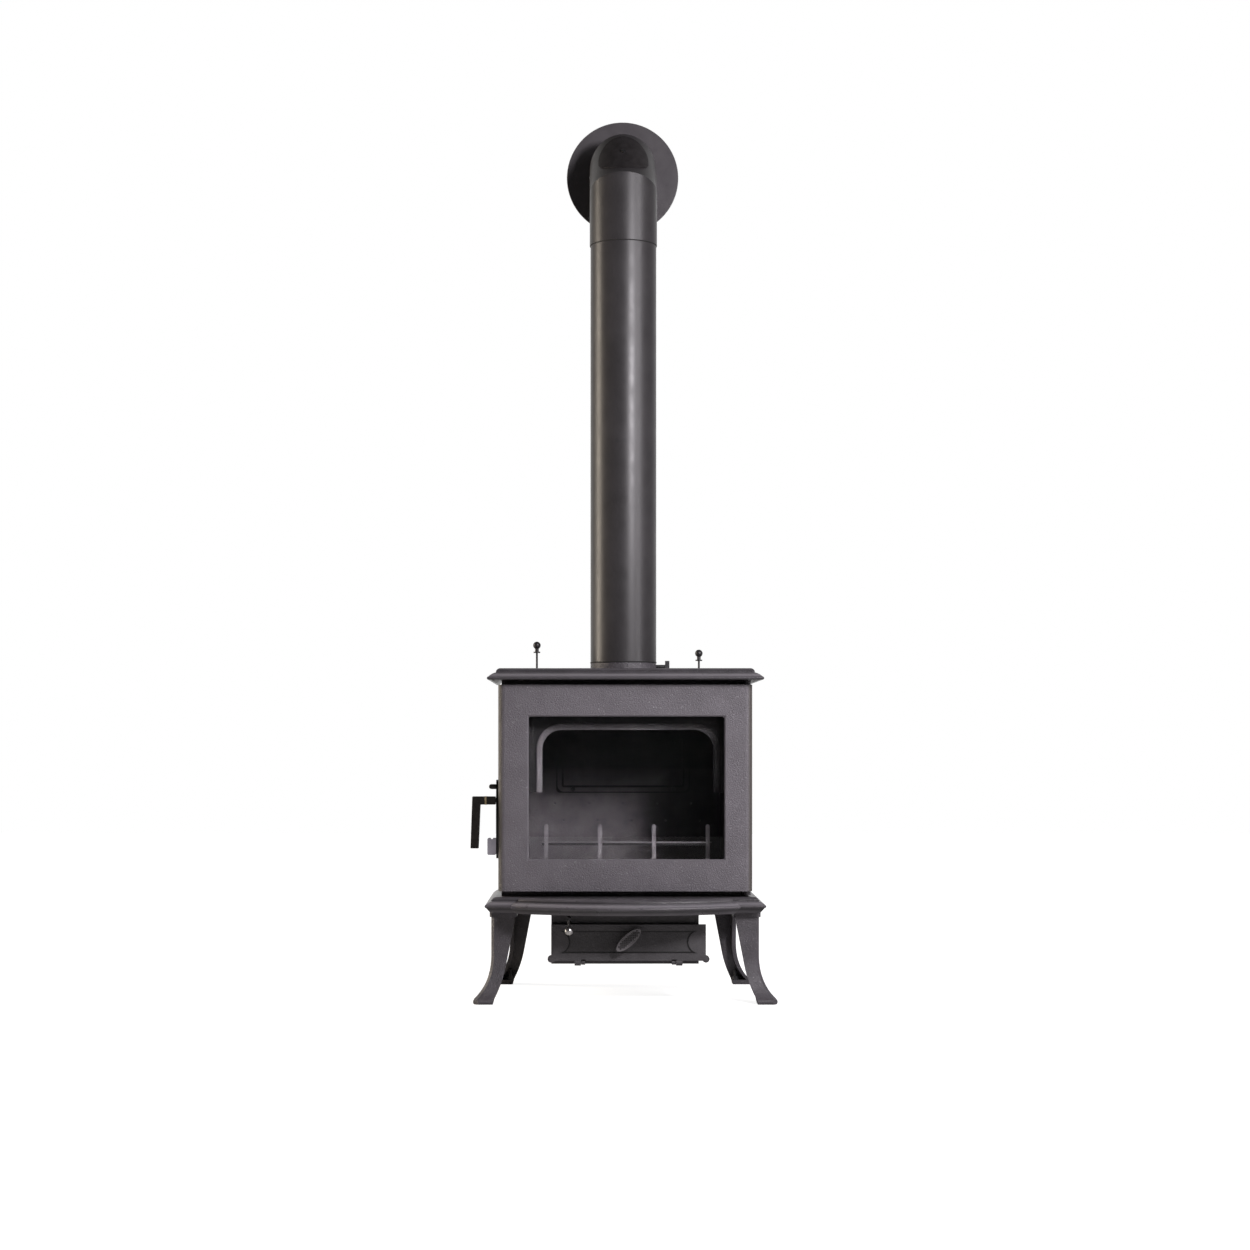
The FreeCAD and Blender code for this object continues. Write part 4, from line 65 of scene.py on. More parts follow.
def noise(nodes, links, size, detail=3.0):
    """A noise whose blotches are about `size` metres across."""
    place = nodes.new("ShaderNodeTexCoord")
    grain = nodes.new("ShaderNodeTexNoise")
    grain.inputs["Scale"].default_value = 1.0 / size
    grain.inputs["Detail"].default_value = detail
    grain.inputs["Roughness"].default_value = NOISE_ROUGHNESS
    links.new(place.outputs["Object"], grain.inputs["Vector"])
    return grain.outputs["Fac"]


def ramp(nodes, links, source, dark, light):
    """Turns a noise into a colour that wanders between `dark` and `light`."""
    colours = nodes.new("ShaderNodeValToRGB")
    colours.color_ramp.elements[0].position = NOISE_LOW
    colours.color_ramp.elements[1].position = NOISE_HIGH
    colours.color_ramp.elements[0].color = (*dark, 1.0)
    colours.color_ramp.elements[1].color = (*light, 1.0)
    links.new(source, colours.inputs["Fac"])
    return colours.outputs["Color"]


def spread(nodes, links, source, low, high, to_low, to_high):
    """Maps the span low..high of a value onto to_low..to_high."""
    span = nodes.new("ShaderNodeMapRange")
    for socket, value in zip(("From Min", "From Max", "To Min", "To Max"), (low, high, to_low, to_high)):
        span.inputs[socket].default_value = value
    links.new(source, span.inputs["Value"])
    return span.outputs["Result"]


def mottled(nodes, links, size, dark, light, detail=3.0):
    """A colour in blotches of a size."""
    return ramp(nodes, links, noise(nodes, links, size, detail), dark, light)


def uneven(nodes, links, size, low, high):
    """A value in blotches of a size."""
    return spread(nodes, links, noise(nodes, links, size), NOISE_LOW, NOISE_HIGH, low, high)


def blended(nodes, links, amount, first, second):
    """Goes from colour `first` to colour `second` as the amount goes from 0 to 1."""
    mix = nodes.new("ShaderNodeMix")
    mix.data_type = "RGBA"
    links.new(amount, mix.inputs["Factor"])
    for socket, colour in (("A", first), ("B", second)):
        target = [entry for entry in mix.inputs if entry.name == socket and entry.type == "RGBA"][0]
        if isinstance(colour, tuple):
            target.default_value = (*colour, 1.0)
        else:
            links.new(colour, target)
    return [entry for entry in mix.outputs if entry.type == "RGBA"][0]


def bumped(nodes, links, shader, height, depth, under=None):
    """Raises the surface by `depth` metres where the height is 1."""
    bump = nodes.new("ShaderNodeBump")
    bump.inputs["Distance"].default_value = depth
    bump.inputs["Strength"].default_value = 1.0
    links.new(height, bump.inputs["Height"])
    if under is not None:
        links.new(under, bump.inputs["Normal"])
    links.new(bump.outputs["Normal"], shader.inputs["Normal"])
    return bump.outputs["Normal"]


def cast_finish(name, dark, light, grain_size, grain_depth, rough):
    """Painted sand casting: soft blotches of tone, a pebbled skin and a finer sand grain."""
    made, nodes, links, shader = finish(name)
    links.new(mottled(nodes, links, BLOTCH_SIZE, dark, light, detail=4.0), shader.inputs["Base Color"])
    links.new(uneven(nodes, links, SHEEN_SIZE, rough - SHEEN_SPREAD, rough + SHEEN_SPREAD),
              shader.inputs["Roughness"])
    pebbles = bumped(nodes, links, shader, noise(nodes, links, grain_size, detail=1.5), grain_depth)
    sand = noise(nodes, links, grain_size * SAND_SHARE)
    bumped(nodes, links, shader, sand, grain_depth * SAND_SHARE, under=pebbles)
    return made


def dress(names, made):
    for name in names:
        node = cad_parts[name]
        if not node.material_slots:
            node.data.materials.append(made)
        for place in node.material_slots:
            place.material = made


def place_on(nodes, links):
    """The X, Y and Z of a place on the piece."""
    place = nodes.new("ShaderNodeTexCoord")
    split = nodes.new("ShaderNodeSeparateXYZ")
    links.new(place.outputs["Object"], split.inputs["Vector"])
    return split.outputs["X"], split.outputs["Y"], split.outputs["Z"]


def figure(nodes, links, operation, first, second=None):
    """One step of arithmetic on values or plain numbers."""
    step = nodes.new("ShaderNodeMath")
    step.operation = operation
    for socket, value in zip(step.inputs, (first, second)):
        if isinstance(value, float):
            socket.default_value = value
        elif value is not None:
            links.new(value, socket)
    return step.outputs["Value"]


def laid_over(made, amount, colour):
    """Covers a finish with another colour as the amount, a function of place, goes from 0 to 1."""
    nodes, links = made.node_tree.nodes, made.node_tree.links
    tint = nodes["Principled BSDF"].inputs["Base Color"]
    under = tint.links[0].from_socket
    links.new(blended(nodes, links, amount(nodes, links), under, colour), tint)
    return made


def pale_specks_and_glints(nodes, links):
    """Tiny pale specks: partly pits and chips where dust and bare iron show, partly painted glints of the pebbled
    paint.
    """
    return spread(nodes, links, noise(nodes, links, SPECK_SIZE, detail=1.0),
                  SPECK_START, SPECK_FULL, 0.0, SPECK_COVER)


smooth_cast = cast_finish("smooth_cast", (0.064, 0.059, 0.065), (0.088, 0.081, 0.09),
                          grain_size=0.0027, grain_depth=0.0011, rough=0.37)
dress(["side_plate_left", "side_plate_right", "back_plate", "front_frame", "flue_collar",
       "leg_front_left", "leg_front_right", "leg_rear_left", "leg_rear_right"],
      laid_over(smooth_cast, pale_specks_and_glints, SPECK_AND_GLINT_COLOUR))

# The plates' moulded edges carry painted light: a lighter band along the nose, partly rubbed wear and partly a
# painted highlight, and near-black painted shade in the step under the bead and under the nose.
RUBBED_AND_HIGHLIGHT_IRON = (0.24, 0.228, 0.244)
EDGE_SHADE = (0.008, 0.008, 0.008)
BAND_COVER = 0.75
PLATE_FACE = {"top_plate": 0.736, "base_plate": 0.234}
NOSE_DROP = {"top_plate": 0.0155, "base_plate": 0.0135}
STEP_DROP = 0.0065
FOOT_DROP = 0.026
NOSE_BAND = 0.005
STEP_BAND = 0.0022
FOOT_BAND = 0.005


def level_band(level, half):
    """A function of place: strongest at a level, and nothing from half a band away."""
    def band(nodes, links):
        height = place_on(nodes, links)[2]
        away = figure(nodes, links, "ABSOLUTE", figure(nodes, links, "SUBTRACT", height, level))
        return spread(nodes, links, away, 0.0, half, BAND_COVER, 0.0)
    return band


for plate, face in PLATE_FACE.items():
    moulded = cast_finish(plate + "_cast", (0.06, 0.056, 0.061), (0.085, 0.079, 0.087),
                          grain_size=0.004, grain_depth=0.0006, rough=0.34)
    laid_over(moulded, level_band(face - NOSE_DROP[plate], NOSE_BAND), RUBBED_AND_HIGHLIGHT_IRON)
    laid_over(moulded, level_band(face - STEP_DROP, STEP_BAND), EDGE_SHADE)
    dress([plate], laid_over(moulded, level_band(face - FOOT_DROP, FOOT_BAND), EDGE_SHADE))


# Door casting.
# One frame of pebbled cast iron round the window, painted with the rest of the body.
# Its long outer edges are tinted a darker brown: partly paint worn thin by handling, partly painted warm side
# light and shade.
DOOR_EDGE = 0.279
EDGE_BROWN_WIDTH = 0.011
EDGE_BROWN_COVER = 0.8
HANDLED_AND_WARM_LIT_BROWN = (0.062, 0.054, 0.043)
DOOR_SPECK_AND_GLINT_COLOUR = (0.3, 0.285, 0.305)


def handled_and_warm_lit_edges(nodes, links):
    across = figure(nodes, links, "ABSOLUTE", place_on(nodes, links)[0])
    return spread(nodes, links, across, DOOR_EDGE - EDGE_BROWN_WIDTH, DOOR_EDGE - EDGE_BROWN_WIDTH / 2,
                  0.0, EDGE_BROWN_COVER)


door_cast = cast_finish("door_cast", (0.114, 0.105, 0.116), (0.136, 0.125, 0.139),
                        grain_size=0.0027, grain_depth=0.0012, rough=0.43)
laid_over(door_cast, pale_specks_and_glints, DOOR_SPECK_AND_GLINT_COLOUR)
dress(["door_frame"], laid_over(door_cast, handled_and_warm_lit_edges, HANDLED_AND_WARM_LIT_BROWN))


# Door glass.
# A pane of clear ceramic glass, held from behind by clips against a flat tape.
# It has a thin haze of soot left from firing.
made, nodes, links, shader = finish("fire_glass")
links.new(mottled(nodes, links, 0.08, (0.8, 0.8, 0.82), (0.95, 0.95, 0.95)), shader.inputs["Base Color"])
shader.inputs["Transmission Weight"].default_value = 1.0
shader.inputs["IOR"].default_value = 1.45
shader.inputs["Roughness"].default_value = 0.0
clear = nodes.new("ShaderNodeBsdfTransparent")
clear.inputs["Color"].default_value = (0.85, 0.85, 0.85, 1.0)
rays = nodes.new("ShaderNodeLightPath")
pane = nodes.new("ShaderNodeMixShader")
links.new(rays.outputs["Is Shadow Ray"], pane.inputs["Fac"])
links.new(shader.outputs["BSDF"], pane.inputs[1])
links.new(clear.outputs["BSDF"], pane.inputs[2])
links.new(pane.outputs["Shader"], nodes["Material Output"].inputs["Surface"])
dress(["door_glass"], made)


# Rope seals of the door and the ash door, and the tape under the glass.
# Knitted glass fibre, black from the mill, glued in as closed rings that the castings press flat.
# The knitting stands up in small diamonds all round the rope.
KNIT_LENGTH = 0.009
KNIT_STEPS = 4
KNIT_DIAMONDS = 3
ROPE_SIDES = 12
CORNER_STEPS = 8
MERGE_GAP = 0.00002
made, nodes, links, shader = finish("seal_rope")
strands = noise(nodes, links, 0.0012, detail=1.0)
links.new(ramp(nodes, links, strands, (0.02, 0.02, 0.02), (0.08, 0.078, 0.075)), shader.inputs["Base Color"])
shader.inputs["Roughness"].default_value = 0.95
bumped(nodes, links, shader, strands, 0.0003)
seal_rope = made


def piece_from(build, name, made):
    """Turns a built mesh into a piece with one finish."""
    mesh = bpy.data.meshes.new(name)
    build.to_mesh(mesh)
    build.free()
    mesh.materials.append(made)
    piece = bpy.data.objects.new(name, mesh)
    bpy.context.scene.collection.objects.link(piece)
    return piece


def ring_offset(across, up, half_width, half_height, corner):
    """How far a point lies outside a rounded ring's middle line, and how far along its side."""
    past_x = abs(across) - (half_width - corner)
    past_z = abs(up) - (half_height - corner)
    if past_x > 0.0 and past_z > 0.0:
        return math.hypot(past_x, past_z) - corner, corner * math.atan2(past_z, past_x)
    if past_x > past_z:
        return past_x - corner, up
    return past_z - corner, across


def seal_ring(name, node, body, centre, half_width, half_height, corner, across, deep, relief):
    """Closed ring of knitted rope, swept round four sides and four corners, then raised in diamonds."""
    build = bmesh.new()
    start = Matrix.Translation((centre[0], centre[1], centre[2] - half_height))
    section = Matrix(((0.0, 0.0, 1.0, 0.0), (deep, 0.0, 0.0, 0.0), (0.0, across, 0.0, 0.0), (0.0, 0.0, 0.0, 1.0)))
    bmesh.ops.create_circle(build, segments=ROPE_SIDES, radius=1.0, matrix=start @ section)
    swept = build.verts[:] + build.edges[:]
    x, z = half_width - corner, half_height - corner
    sides = [(x, (1, 0), (1, -1)), (2 * z, (0, 1), (1, 1)), (2 * x, (-1, 0), (-1, 1)),
             (2 * z, (0, -1), (-1, -1)), (x, (1, 0), None)]
    for length, way, turn in sides:
        steps = round(length * KNIT_STEPS / KNIT_LENGTH)
        stride = Vector((way[0], 0.0, way[1])) * (length / steps)
        swept = bmesh.ops.spin(build, geom=swept, cent=centre, axis=(0.0, 1.0, 0.0), dvec=stride,
                               angle=0.0, steps=steps)["geom_last"]
        if turn is not None:
            pivot = Vector(centre) + Vector((turn[0] * x, 0.0, turn[1] * z))
            swept = bmesh.ops.spin(build, geom=swept, cent=pivot, axis=(0.0, 1.0, 0.0),
                                   angle=-math.pi / 2, steps=CORNER_STEPS)["geom_last"]
    bmesh.ops.remove_doubles(build, verts=build.verts[:], dist=MERGE_GAP)
    bmesh.ops.recalc_face_normals(build, faces=build.faces[:])
    moves = []
    for vert in build.verts:
        outward, along = ring_offset(vert.co.x - centre[0], vert.co.z - centre[2], half_width, half_height, corner)
        around = KNIT_DIAMONDS * math.atan2((vert.co.y - centre[1]) / deep, outward / across)
        wave = math.tau * along / KNIT_LENGTH
        rise = math.sin(wave + around) * math.sin(wave - around) - 1.0
        moves.append((vert, vert.normal * (relief * rise)))
    for vert, move in moves:
        vert.co += move
    for face in build.faces:
        face.smooth = True
    ring = piece_from(build, name, seal_rope)
    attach(ring, body)
    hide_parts(node)


seal_ring("knitted_door_rope", "door_rope", "fire_door", (0.0, -0.17865, 0.4735),
          half_width=0.244, half_height=0.1915, corner=0.014, across=0.004, deep=0.00635, relief=0.0003)
seal_ring("knitted_ash_rope", "ash_door_rope", "ash_flap", (0.0, -0.17515, 0.133),
          half_width=0.155, half_height=0.033, corner=0.003, across=0.003, deep=0.00285, relief=0.0002)
seal_ring("knitted_glass_tape", "glass_gasket", "fire_door", (0.0025, -0.207, 0.4735),
          half_width=0.2195, half_height=0.1615, corner=0.009, across=0.004, deep=0.001, relief=0.0001)


# Lever handle with its brass ring, and the leaf and block of the latch.
# The lever is a bent square bar in brown-black enamel that turns in the door's left edge.
# The leaf has the same enamel, and the block is a bare grey casting.
made, nodes, links, shader = finish("lever_enamel")
links.new(mottled(nodes, links, 0.01, (0.006, 0.0048, 0.004), (0.013, 0.011, 0.009)), shader.inputs["Base Color"])
shader.inputs["Roughness"].default_value = 0.38
shader.inputs["Specular IOR Level"].default_value = 0.3
bumped(nodes, links, shader, noise(nodes, links, 0.002), 0.00008)
dress(["door_handle", "latch_plate"], made)

made, nodes, links, shader = finish("dull_brass")
links.new(mottled(nodes, links, 0.003, (0.35, 0.27, 0.15), (0.55, 0.45, 0.28)), shader.inputs["Base Color"])
shader.inputs["Metallic"].default_value = 1.0
shader.inputs["Roughness"].default_value = 0.4
dress(["handle_ring"], made)

dress(["latch_block"], cast_finish("bare_grey_iron", (0.17, 0.16, 0.18), (0.26, 0.25, 0.28),
                                   grain_size=0.003, grain_depth=0.0002, rough=0.55))


# Steel rods, pins, bolts, clips and the ash pan.
# Drawn or folded mild steel, blackened so that it doesn't rust.
# The rods and screws are turned and threaded, and the pan is folded from sheet.
made, nodes, links, shader = finish("black_steel")
links.new(mottled(nodes, links, 0.015, (0.03, 0.03, 0.032), (0.07, 0.068, 0.07)), shader.inputs["Base Color"])
shader.inputs["Metallic"].default_value = 0.6
links.new(uneven(nodes, links, 0.006, 0.32, 0.5), shader.inputs["Roughness"])
bumped(nodes, links, shader, noise(nodes, links, 0.002), 0.00005)
dress(["air_rod_left", "air_rod_right", "air_shutter_left", "air_shutter_right", "riddle_rod",
       "damper_spindle", "damper_lever", "door_hinge_pins", "ash_hinge_pins", "tie_rods", "body_screws",
       "underside_bolts", "levelling_screws", "glass_clips", "glass_clip_screws", "handle_spindle",
       "latch_crank", "latch_keeper", "soot_cover_screw", "ash_pan", "grate_rails", "ash_latch_bar"], made)


# Liners, grate, log fence and the plates round the fire.
# Bare grey castings, with near-black painted shade that darkens them higher up and towards the hinge side.
# The air-wash plate is left light only on its lip; it is darker outside the lip, with painted shade along its top.
# The near-black below serves both as soot on the baffle and damper and as painted shade inside the firebox.
SOOT_AND_SHADE = (0.007, 0.0065, 0.007)
LINER_DARK = (0.1, 0.092, 0.098)
LINER_LIGHT = (0.155, 0.144, 0.151)
BARE_GRAIN = {"grain_size": 0.005, "grain_depth": 0.0006, "rough": 0.6}
FAR_OFF = 10.0
SHADE_FOOT = 0.445
SHADE_HEAD = 0.515
SIDE_SHADE_START = 0.03
SIDE_SHADE_FULL = 0.11
SIDE_SHADE_COVER = 0.9


def vector_step(nodes, links, operation, source, by=None):
    """One step of arithmetic on a place."""
    step = nodes.new("ShaderNodeVectorMath")
    step.operation = operation
    links.new(source, step.inputs[0])
    if by is not None:
        step.inputs[1].default_value = by
    return step.outputs["Value" if operation == "LENGTH" else "Vector"]


def folded_from(nodes, links, centre):
    """Places on a piece, measured from a centre and folded into one quarter."""
    place = nodes.new("ShaderNodeTexCoord")
    local = vector_step(nodes, links, "SUBTRACT", place.outputs["Object"], centre)
    return vector_step(nodes, links, "ABSOLUTE", local)


def outside_of(nodes, links, centre, half_width, half_height, corner):
    """How far a place lies from the core of a rounded window in the X-Z plane; the edge is at `corner`."""
    folded = folded_from(nodes, links, centre)
    core = (half_width - corner, FAR_OFF, half_height - corner)
    beyond = vector_step(nodes, links, "SUBTRACT", folded, core)
    return vector_step(nodes, links, "LENGTH", vector_step(nodes, links, "MAXIMUM", beyond, (0.0, 0.0, 0.0)))


def painted_interior_shade(nodes, links):
    """Painted shade: darker with height, and darker towards the hinge side."""
    x, _, z = place_on(nodes, links)
    return figure(nodes, links, "MAXIMUM", spread(nodes, links, z, SHADE_FOOT, SHADE_HEAD, 0.0, 1.0),
                  spread(nodes, links, x, SIDE_SHADE_START, SIDE_SHADE_FULL, 0.0, SIDE_SHADE_COVER))


liner_iron = cast_finish("liner_iron", LINER_DARK, LINER_LIGHT, **BARE_GRAIN)
dress(["liner_left", "liner_right", "back_liner", "grate_frame", "shaker_grate"],
      laid_over(liner_iron, painted_interior_shade, SOOT_AND_SHADE))

PLATE_TOP_MIDDLE = (0.0, 0.0, 0.603)
PLATE_HALF_WIDTH = 0.157
PLATE_HALF_HEIGHT = 0.148
PLATE_CORNER = 0.018
OUTER_LINE = 0.0148
INNER_LINE_END = 0.0052
LINE_BLUR = 0.0008


def plate_lines(nodes, links):
    """Painted shade over the plate's height, and painted shade lines on both sides of its rim."""
    inward = outside_of(nodes, links, PLATE_TOP_MIDDLE, PLATE_HALF_WIDTH, PLATE_HALF_HEIGHT, PLATE_CORNER)
    outer = spread(nodes, links, inward, OUTER_LINE, OUTER_LINE + LINE_BLUR, 0.0, 1.0)
    inner = figure(nodes, links, "MULTIPLY", spread(nodes, links, inward, 0.0, LINE_BLUR, 0.0, 1.0),
                   spread(nodes, links, inward, INNER_LINE_END, INNER_LINE_END + LINE_BLUR, 1.0, 0.0))
    lines = figure(nodes, links, "MAXIMUM", outer, inner)
    return figure(nodes, links, "MAXIMUM", lines, painted_interior_shade(nodes, links))


rear_iron = cast_finish("rear_plate_iron", LINER_DARK, LINER_LIGHT, **BARE_GRAIN)
dress(["rear_plate"], laid_over(rear_iron, plate_lines, SOOT_AND_SHADE))

ARCH_MIDDLE = (0.0065, 0.0, 0.463)
ARCH_HALF_WIDTH = 0.2015
ARCH_HALF_HEIGHT = 0.15
ARCH_CORNER = 0.055
LIP_EDGE = 0.0555
LIP_BLUR = 0.002
HINGE_SHADE_START = -0.1
HINGE_SHADE_FULL = 0.17
HINGE_SHADE = 0.88
ARCH_TOP_START = 0.575
ARCH_TOP_FULL = 0.603
ARCH_TOP_SHADE = 0.4


def arch_painted_shade(nodes, links):
    """Darker outside the arch's lip, and painted shade along its top and more and more towards the hinge side."""
    x, _, z = place_on(nodes, links)
    outside = outside_of(nodes, links, ARCH_MIDDLE, ARCH_HALF_WIDTH, ARCH_HALF_HEIGHT, ARCH_CORNER)
    beyond = spread(nodes, links, outside, LIP_EDGE, LIP_EDGE + LIP_BLUR, 0.0, 1.0)
    hinge_side = spread(nodes, links, x, HINGE_SHADE_START, HINGE_SHADE_FULL, 0.0, HINGE_SHADE)
    along_top = spread(nodes, links, z, ARCH_TOP_START, ARCH_TOP_FULL, 0.0, ARCH_TOP_SHADE)
    return figure(nodes, links, "MAXIMUM", beyond, figure(nodes, links, "MAXIMUM", hinge_side, along_top))


airwash_iron = cast_finish("airwash_iron", (0.13, 0.12, 0.126), (0.18, 0.168, 0.176), **BARE_GRAIN)
dress(["airwash_plate"], laid_over(airwash_iron, arch_painted_shade, SOOT_AND_SHADE))

FIRST_UPRIGHT = -0.175
UPRIGHT_PITCH = 0.12
UPRIGHT_HALF = 0.0046
UPRIGHT_BLUR = 0.0003
BAR_EDGE = 0.3498
BAR_BLUR = 0.0006


def bar_painted_shade(nodes, links):
    """Painted shade on the front of the fence's rails between the uprights, below their upper edge."""
    x, _, z = place_on(nodes, links)
    from_first = figure(nodes, links, "SUBTRACT", x, FIRST_UPRIGHT)
    between = figure(nodes, links, "PINGPONG", from_first, UPRIGHT_PITCH / 2)
    rail = spread(nodes, links, between, UPRIGHT_HALF, UPRIGHT_HALF + UPRIGHT_BLUR, 0.0, 1.0)
    under = spread(nodes, links, z, BAR_EDGE - BAR_BLUR, BAR_EDGE, 1.0, 0.0)
    return figure(nodes, links, "MULTIPLY", rail, under)


fence_iron = cast_finish("fence_iron", (0.14, 0.13, 0.137), (0.2, 0.186, 0.195), **BARE_GRAIN)
dress(["fire_fence"], laid_over(fence_iron, bar_painted_shade, SOOT_AND_SHADE))
dress(["throat_baffle", "damper_plate"], cast_finish("smoke_black_iron", SOOT_AND_SHADE, (0.03, 0.028, 0.03), **BARE_GRAIN))


# Ash box with its drop-down door and oval knob, and the ball of the riddling rod.
# The box and door are dark castings; the knob is a small casting with a plain rim round a hatched grip.
# The ball is turned steel, polished by hands.
ASH_DARK = (0.05, 0.047, 0.05)
ASH_LIGHT = (0.08, 0.076, 0.08)
ASH_GRAIN = {"grain_size": 0.003, "grain_depth": 0.0006, "rough": 0.46}
# The near-black below is painted shade in the groove round the ash door's sunk panel, and weaker over the panel.
PANEL_SHADE = (0.006, 0.006, 0.006)
PANEL_MIDDLE = (0.0075, 0.0, 0.1335)
PANEL_HALF_WIDTH = 0.1525
PANEL_HALF_HEIGHT = 0.0245
SCALLOP_CENTRE = 0.1563
SCALLOP_RADIUS = 0.0248
GROOVE_SHADE_START = -0.0004
GROOVE_SHADE_END = 0.0027
GROOVE_SHADE_BLUR = 0.0008
CORNER_SHADE = 1.0
PANEL_SHADE_COVER = 0.3
dress(["ash_box"], cast_finish("ash_cast", ASH_DARK, ASH_LIGHT, **ASH_GRAIN))


def inside_panel(nodes, links):
    """How far a place lies inside the scalloped panel's outline."""
    folded = folded_from(nodes, links, PANEL_MIDDLE)
    split = nodes.new("ShaderNodeSeparateXYZ")
    links.new(folded, split.inputs["Vector"])
    level = figure(nodes, links, "SUBTRACT", PANEL_HALF_HEIGHT, split.outputs["Z"])
    flat = vector_step(nodes, links, "MULTIPLY", folded, (1.0, 0.0, 1.0))
    from_scallop = vector_step(nodes, links, "SUBTRACT", flat, (SCALLOP_CENTRE, 0.0, 0.0))
    end = figure(nodes, links, "SUBTRACT", vector_step(nodes, links, "LENGTH", from_scallop), SCALLOP_RADIUS)
    side = figure(nodes, links, "SUBTRACT", PANEL_HALF_WIDTH, split.outputs["X"])
    return figure(nodes, links, "MINIMUM", figure(nodes, links, "MINIMUM", level, end), side)


def panel_painted_shade(nodes, links):
    """Painted shade in the corner round the sunk panel, and a weaker painted shade over the panel itself."""
    inward = inside_panel(nodes, links)
    return figure(nodes, links, "MULTIPLY", spread(nodes, links, inward, GROOVE_SHADE_START, 0.0, 0.0, 1.0),
                  spread(nodes, links, inward, GROOVE_SHADE_END, GROOVE_SHADE_END + GROOVE_SHADE_BLUR, CORNER_SHADE, PANEL_SHADE_COVER))


ash_door_cast = cast_finish("ash_door_cast", ASH_DARK, ASH_LIGHT, **ASH_GRAIN)
dress(["ash_door"], laid_over(ash_door_cast, panel_painted_shade, PANEL_SHADE))
# The knob's iron is lighter than the ash door's, partly a painted highlight on its rim.
dress(["ash_knob"], cast_finish("knob_iron_painted_highlight", (0.12, 0.112, 0.117), (0.2, 0.188, 0.196),
                                grain_size=0.003, grain_depth=0.0002, rough=0.38))

KNOB_CENTRE = (0.0075, -0.2139, 0.140)
KNOB_TILT = math.radians(48.0)
DISH_HALF_WIDTH = 0.0101
DISH_HALF_LENGTH = 0.0316
HATCH_CELLS = 18
HATCH_HALF = 0.034
HATCH_HEIGHT = 0.001
HATCH_FOOT = 0.0003
hatched_iron = cast_finish("hatched_iron", (0.035, 0.033, 0.034), (0.075, 0.07, 0.073),
                           grain_size=0.003, grain_depth=0.0001, rough=0.36)
build = bmesh.new()
bmesh.ops.create_grid(build, x_segments=HATCH_CELLS, y_segments=HATCH_CELLS, size=HATCH_HALF,
                      matrix=Matrix.Rotation(math.radians(45.0), 4, "Z"))
outside = [vert for vert in build.verts
           if math.hypot(vert.co.x / DISH_HALF_WIDTH, vert.co.y / DISH_HALF_LENGTH) > 1.0]
bmesh.ops.delete(build, geom=outside, context="VERTS")
rim_edges = [edge for edge in build.edges if edge.is_boundary]
cells = build.faces[:]
walls = bmesh.ops.extrude_edge_only(build, edges=rim_edges)["geom"]
bmesh.ops.translate(build, verts=[part for part in walls if isinstance(part, bmesh.types.BMVert)],
                    vec=(0.0, 0.0, -HATCH_FOOT))
bmesh.ops.poke(build, faces=cells, offset=HATCH_HEIGHT)
turned = Matrix.Rotation(KNOB_TILT, 4, "Y") @ Matrix.Rotation(math.radians(90.0), 4, "X")
bmesh.ops.transform(build, matrix=Matrix.Translation(KNOB_CENTRE) @ turned, verts=build.verts[:])
hatching = piece_from(build, "knob_hatching", hatched_iron)
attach(hatching, "ash_turn")

made, nodes, links, shader = finish("turned_steel")
links.new(mottled(nodes, links, 0.004, (0.42, 0.41, 0.4), (0.62, 0.61, 0.6)), shader.inputs["Base Color"])
shader.inputs["Metallic"].default_value = 1.0
links.new(uneven(nodes, links, 0.002, 0.25, 0.42), shader.inputs["Roughness"])
dress(["riddle_ball"], made)


# Flue pipe, elbow and wall rosette.
# Rolled sheet steel in satin black stove paint, with a few rubs on the pipe.
# The elbow is cut in mitres and slips over the pipe, and the rosette hides the hole in the wall.
PAINT_GRAIN = 0.0012
PAINT_RELIEF = 0.00003
RUB_COLOUR = (0.03, 0.03, 0.032)
RUB_START = 0.68
RUB_FULL = 0.76
RUB_COVER = 0.5
made, nodes, links, shader = finish("flue_paint")
tone = mottled(nodes, links, 0.12, (0.034, 0.032, 0.033), (0.046, 0.043, 0.045), detail=5.0)
rubs = spread(nodes, links, noise(nodes, links, 0.025, detail=2.0), RUB_START, RUB_FULL, 0.0, RUB_COVER)
links.new(blended(nodes, links, rubs, tone, RUB_COLOUR), shader.inputs["Base Color"])
links.new(uneven(nodes, links, 0.03, 0.34, 0.42), shader.inputs["Roughness"])
bumped(nodes, links, shader, noise(nodes, links, PAINT_GRAIN), PAINT_RELIEF)
dress(["flue_pipe", "flue_elbow"], made)

made, nodes, links, shader = finish("rosette_paint")
links.new(mottled(nodes, links, 0.05, (0.068, 0.063, 0.068), (0.086, 0.08, 0.085)), shader.inputs["Base Color"])
links.new(uneven(nodes, links, 0.02, 0.32, 0.42), shader.inputs["Roughness"])
bumped(nodes, links, shader, noise(nodes, links, PAINT_GRAIN), PAINT_RELIEF)
dress(["wall_rosette"], made)


# Near-black beads round the flue's joints, where the pipe stands on the collar and where the elbow slips over it.
# They are painted shade: dark lines put where the joints' shadow falls, shaped as beads of fire cement.
# Each is a thin round bead pressed against the pipe.
FLUE_AXIS = Vector((0.0, 0.09, 0.0))
PIPE_RADIUS = 0.0765
BEAD_SIDES = 10
BEAD_STEPS = 96
shade_bead_finish = cast_finish("shade_bead_black", (0.006, 0.006, 0.006), (0.014, 0.013, 0.013),
                     grain_size=0.003, grain_depth=0.0004, rough=0.7)


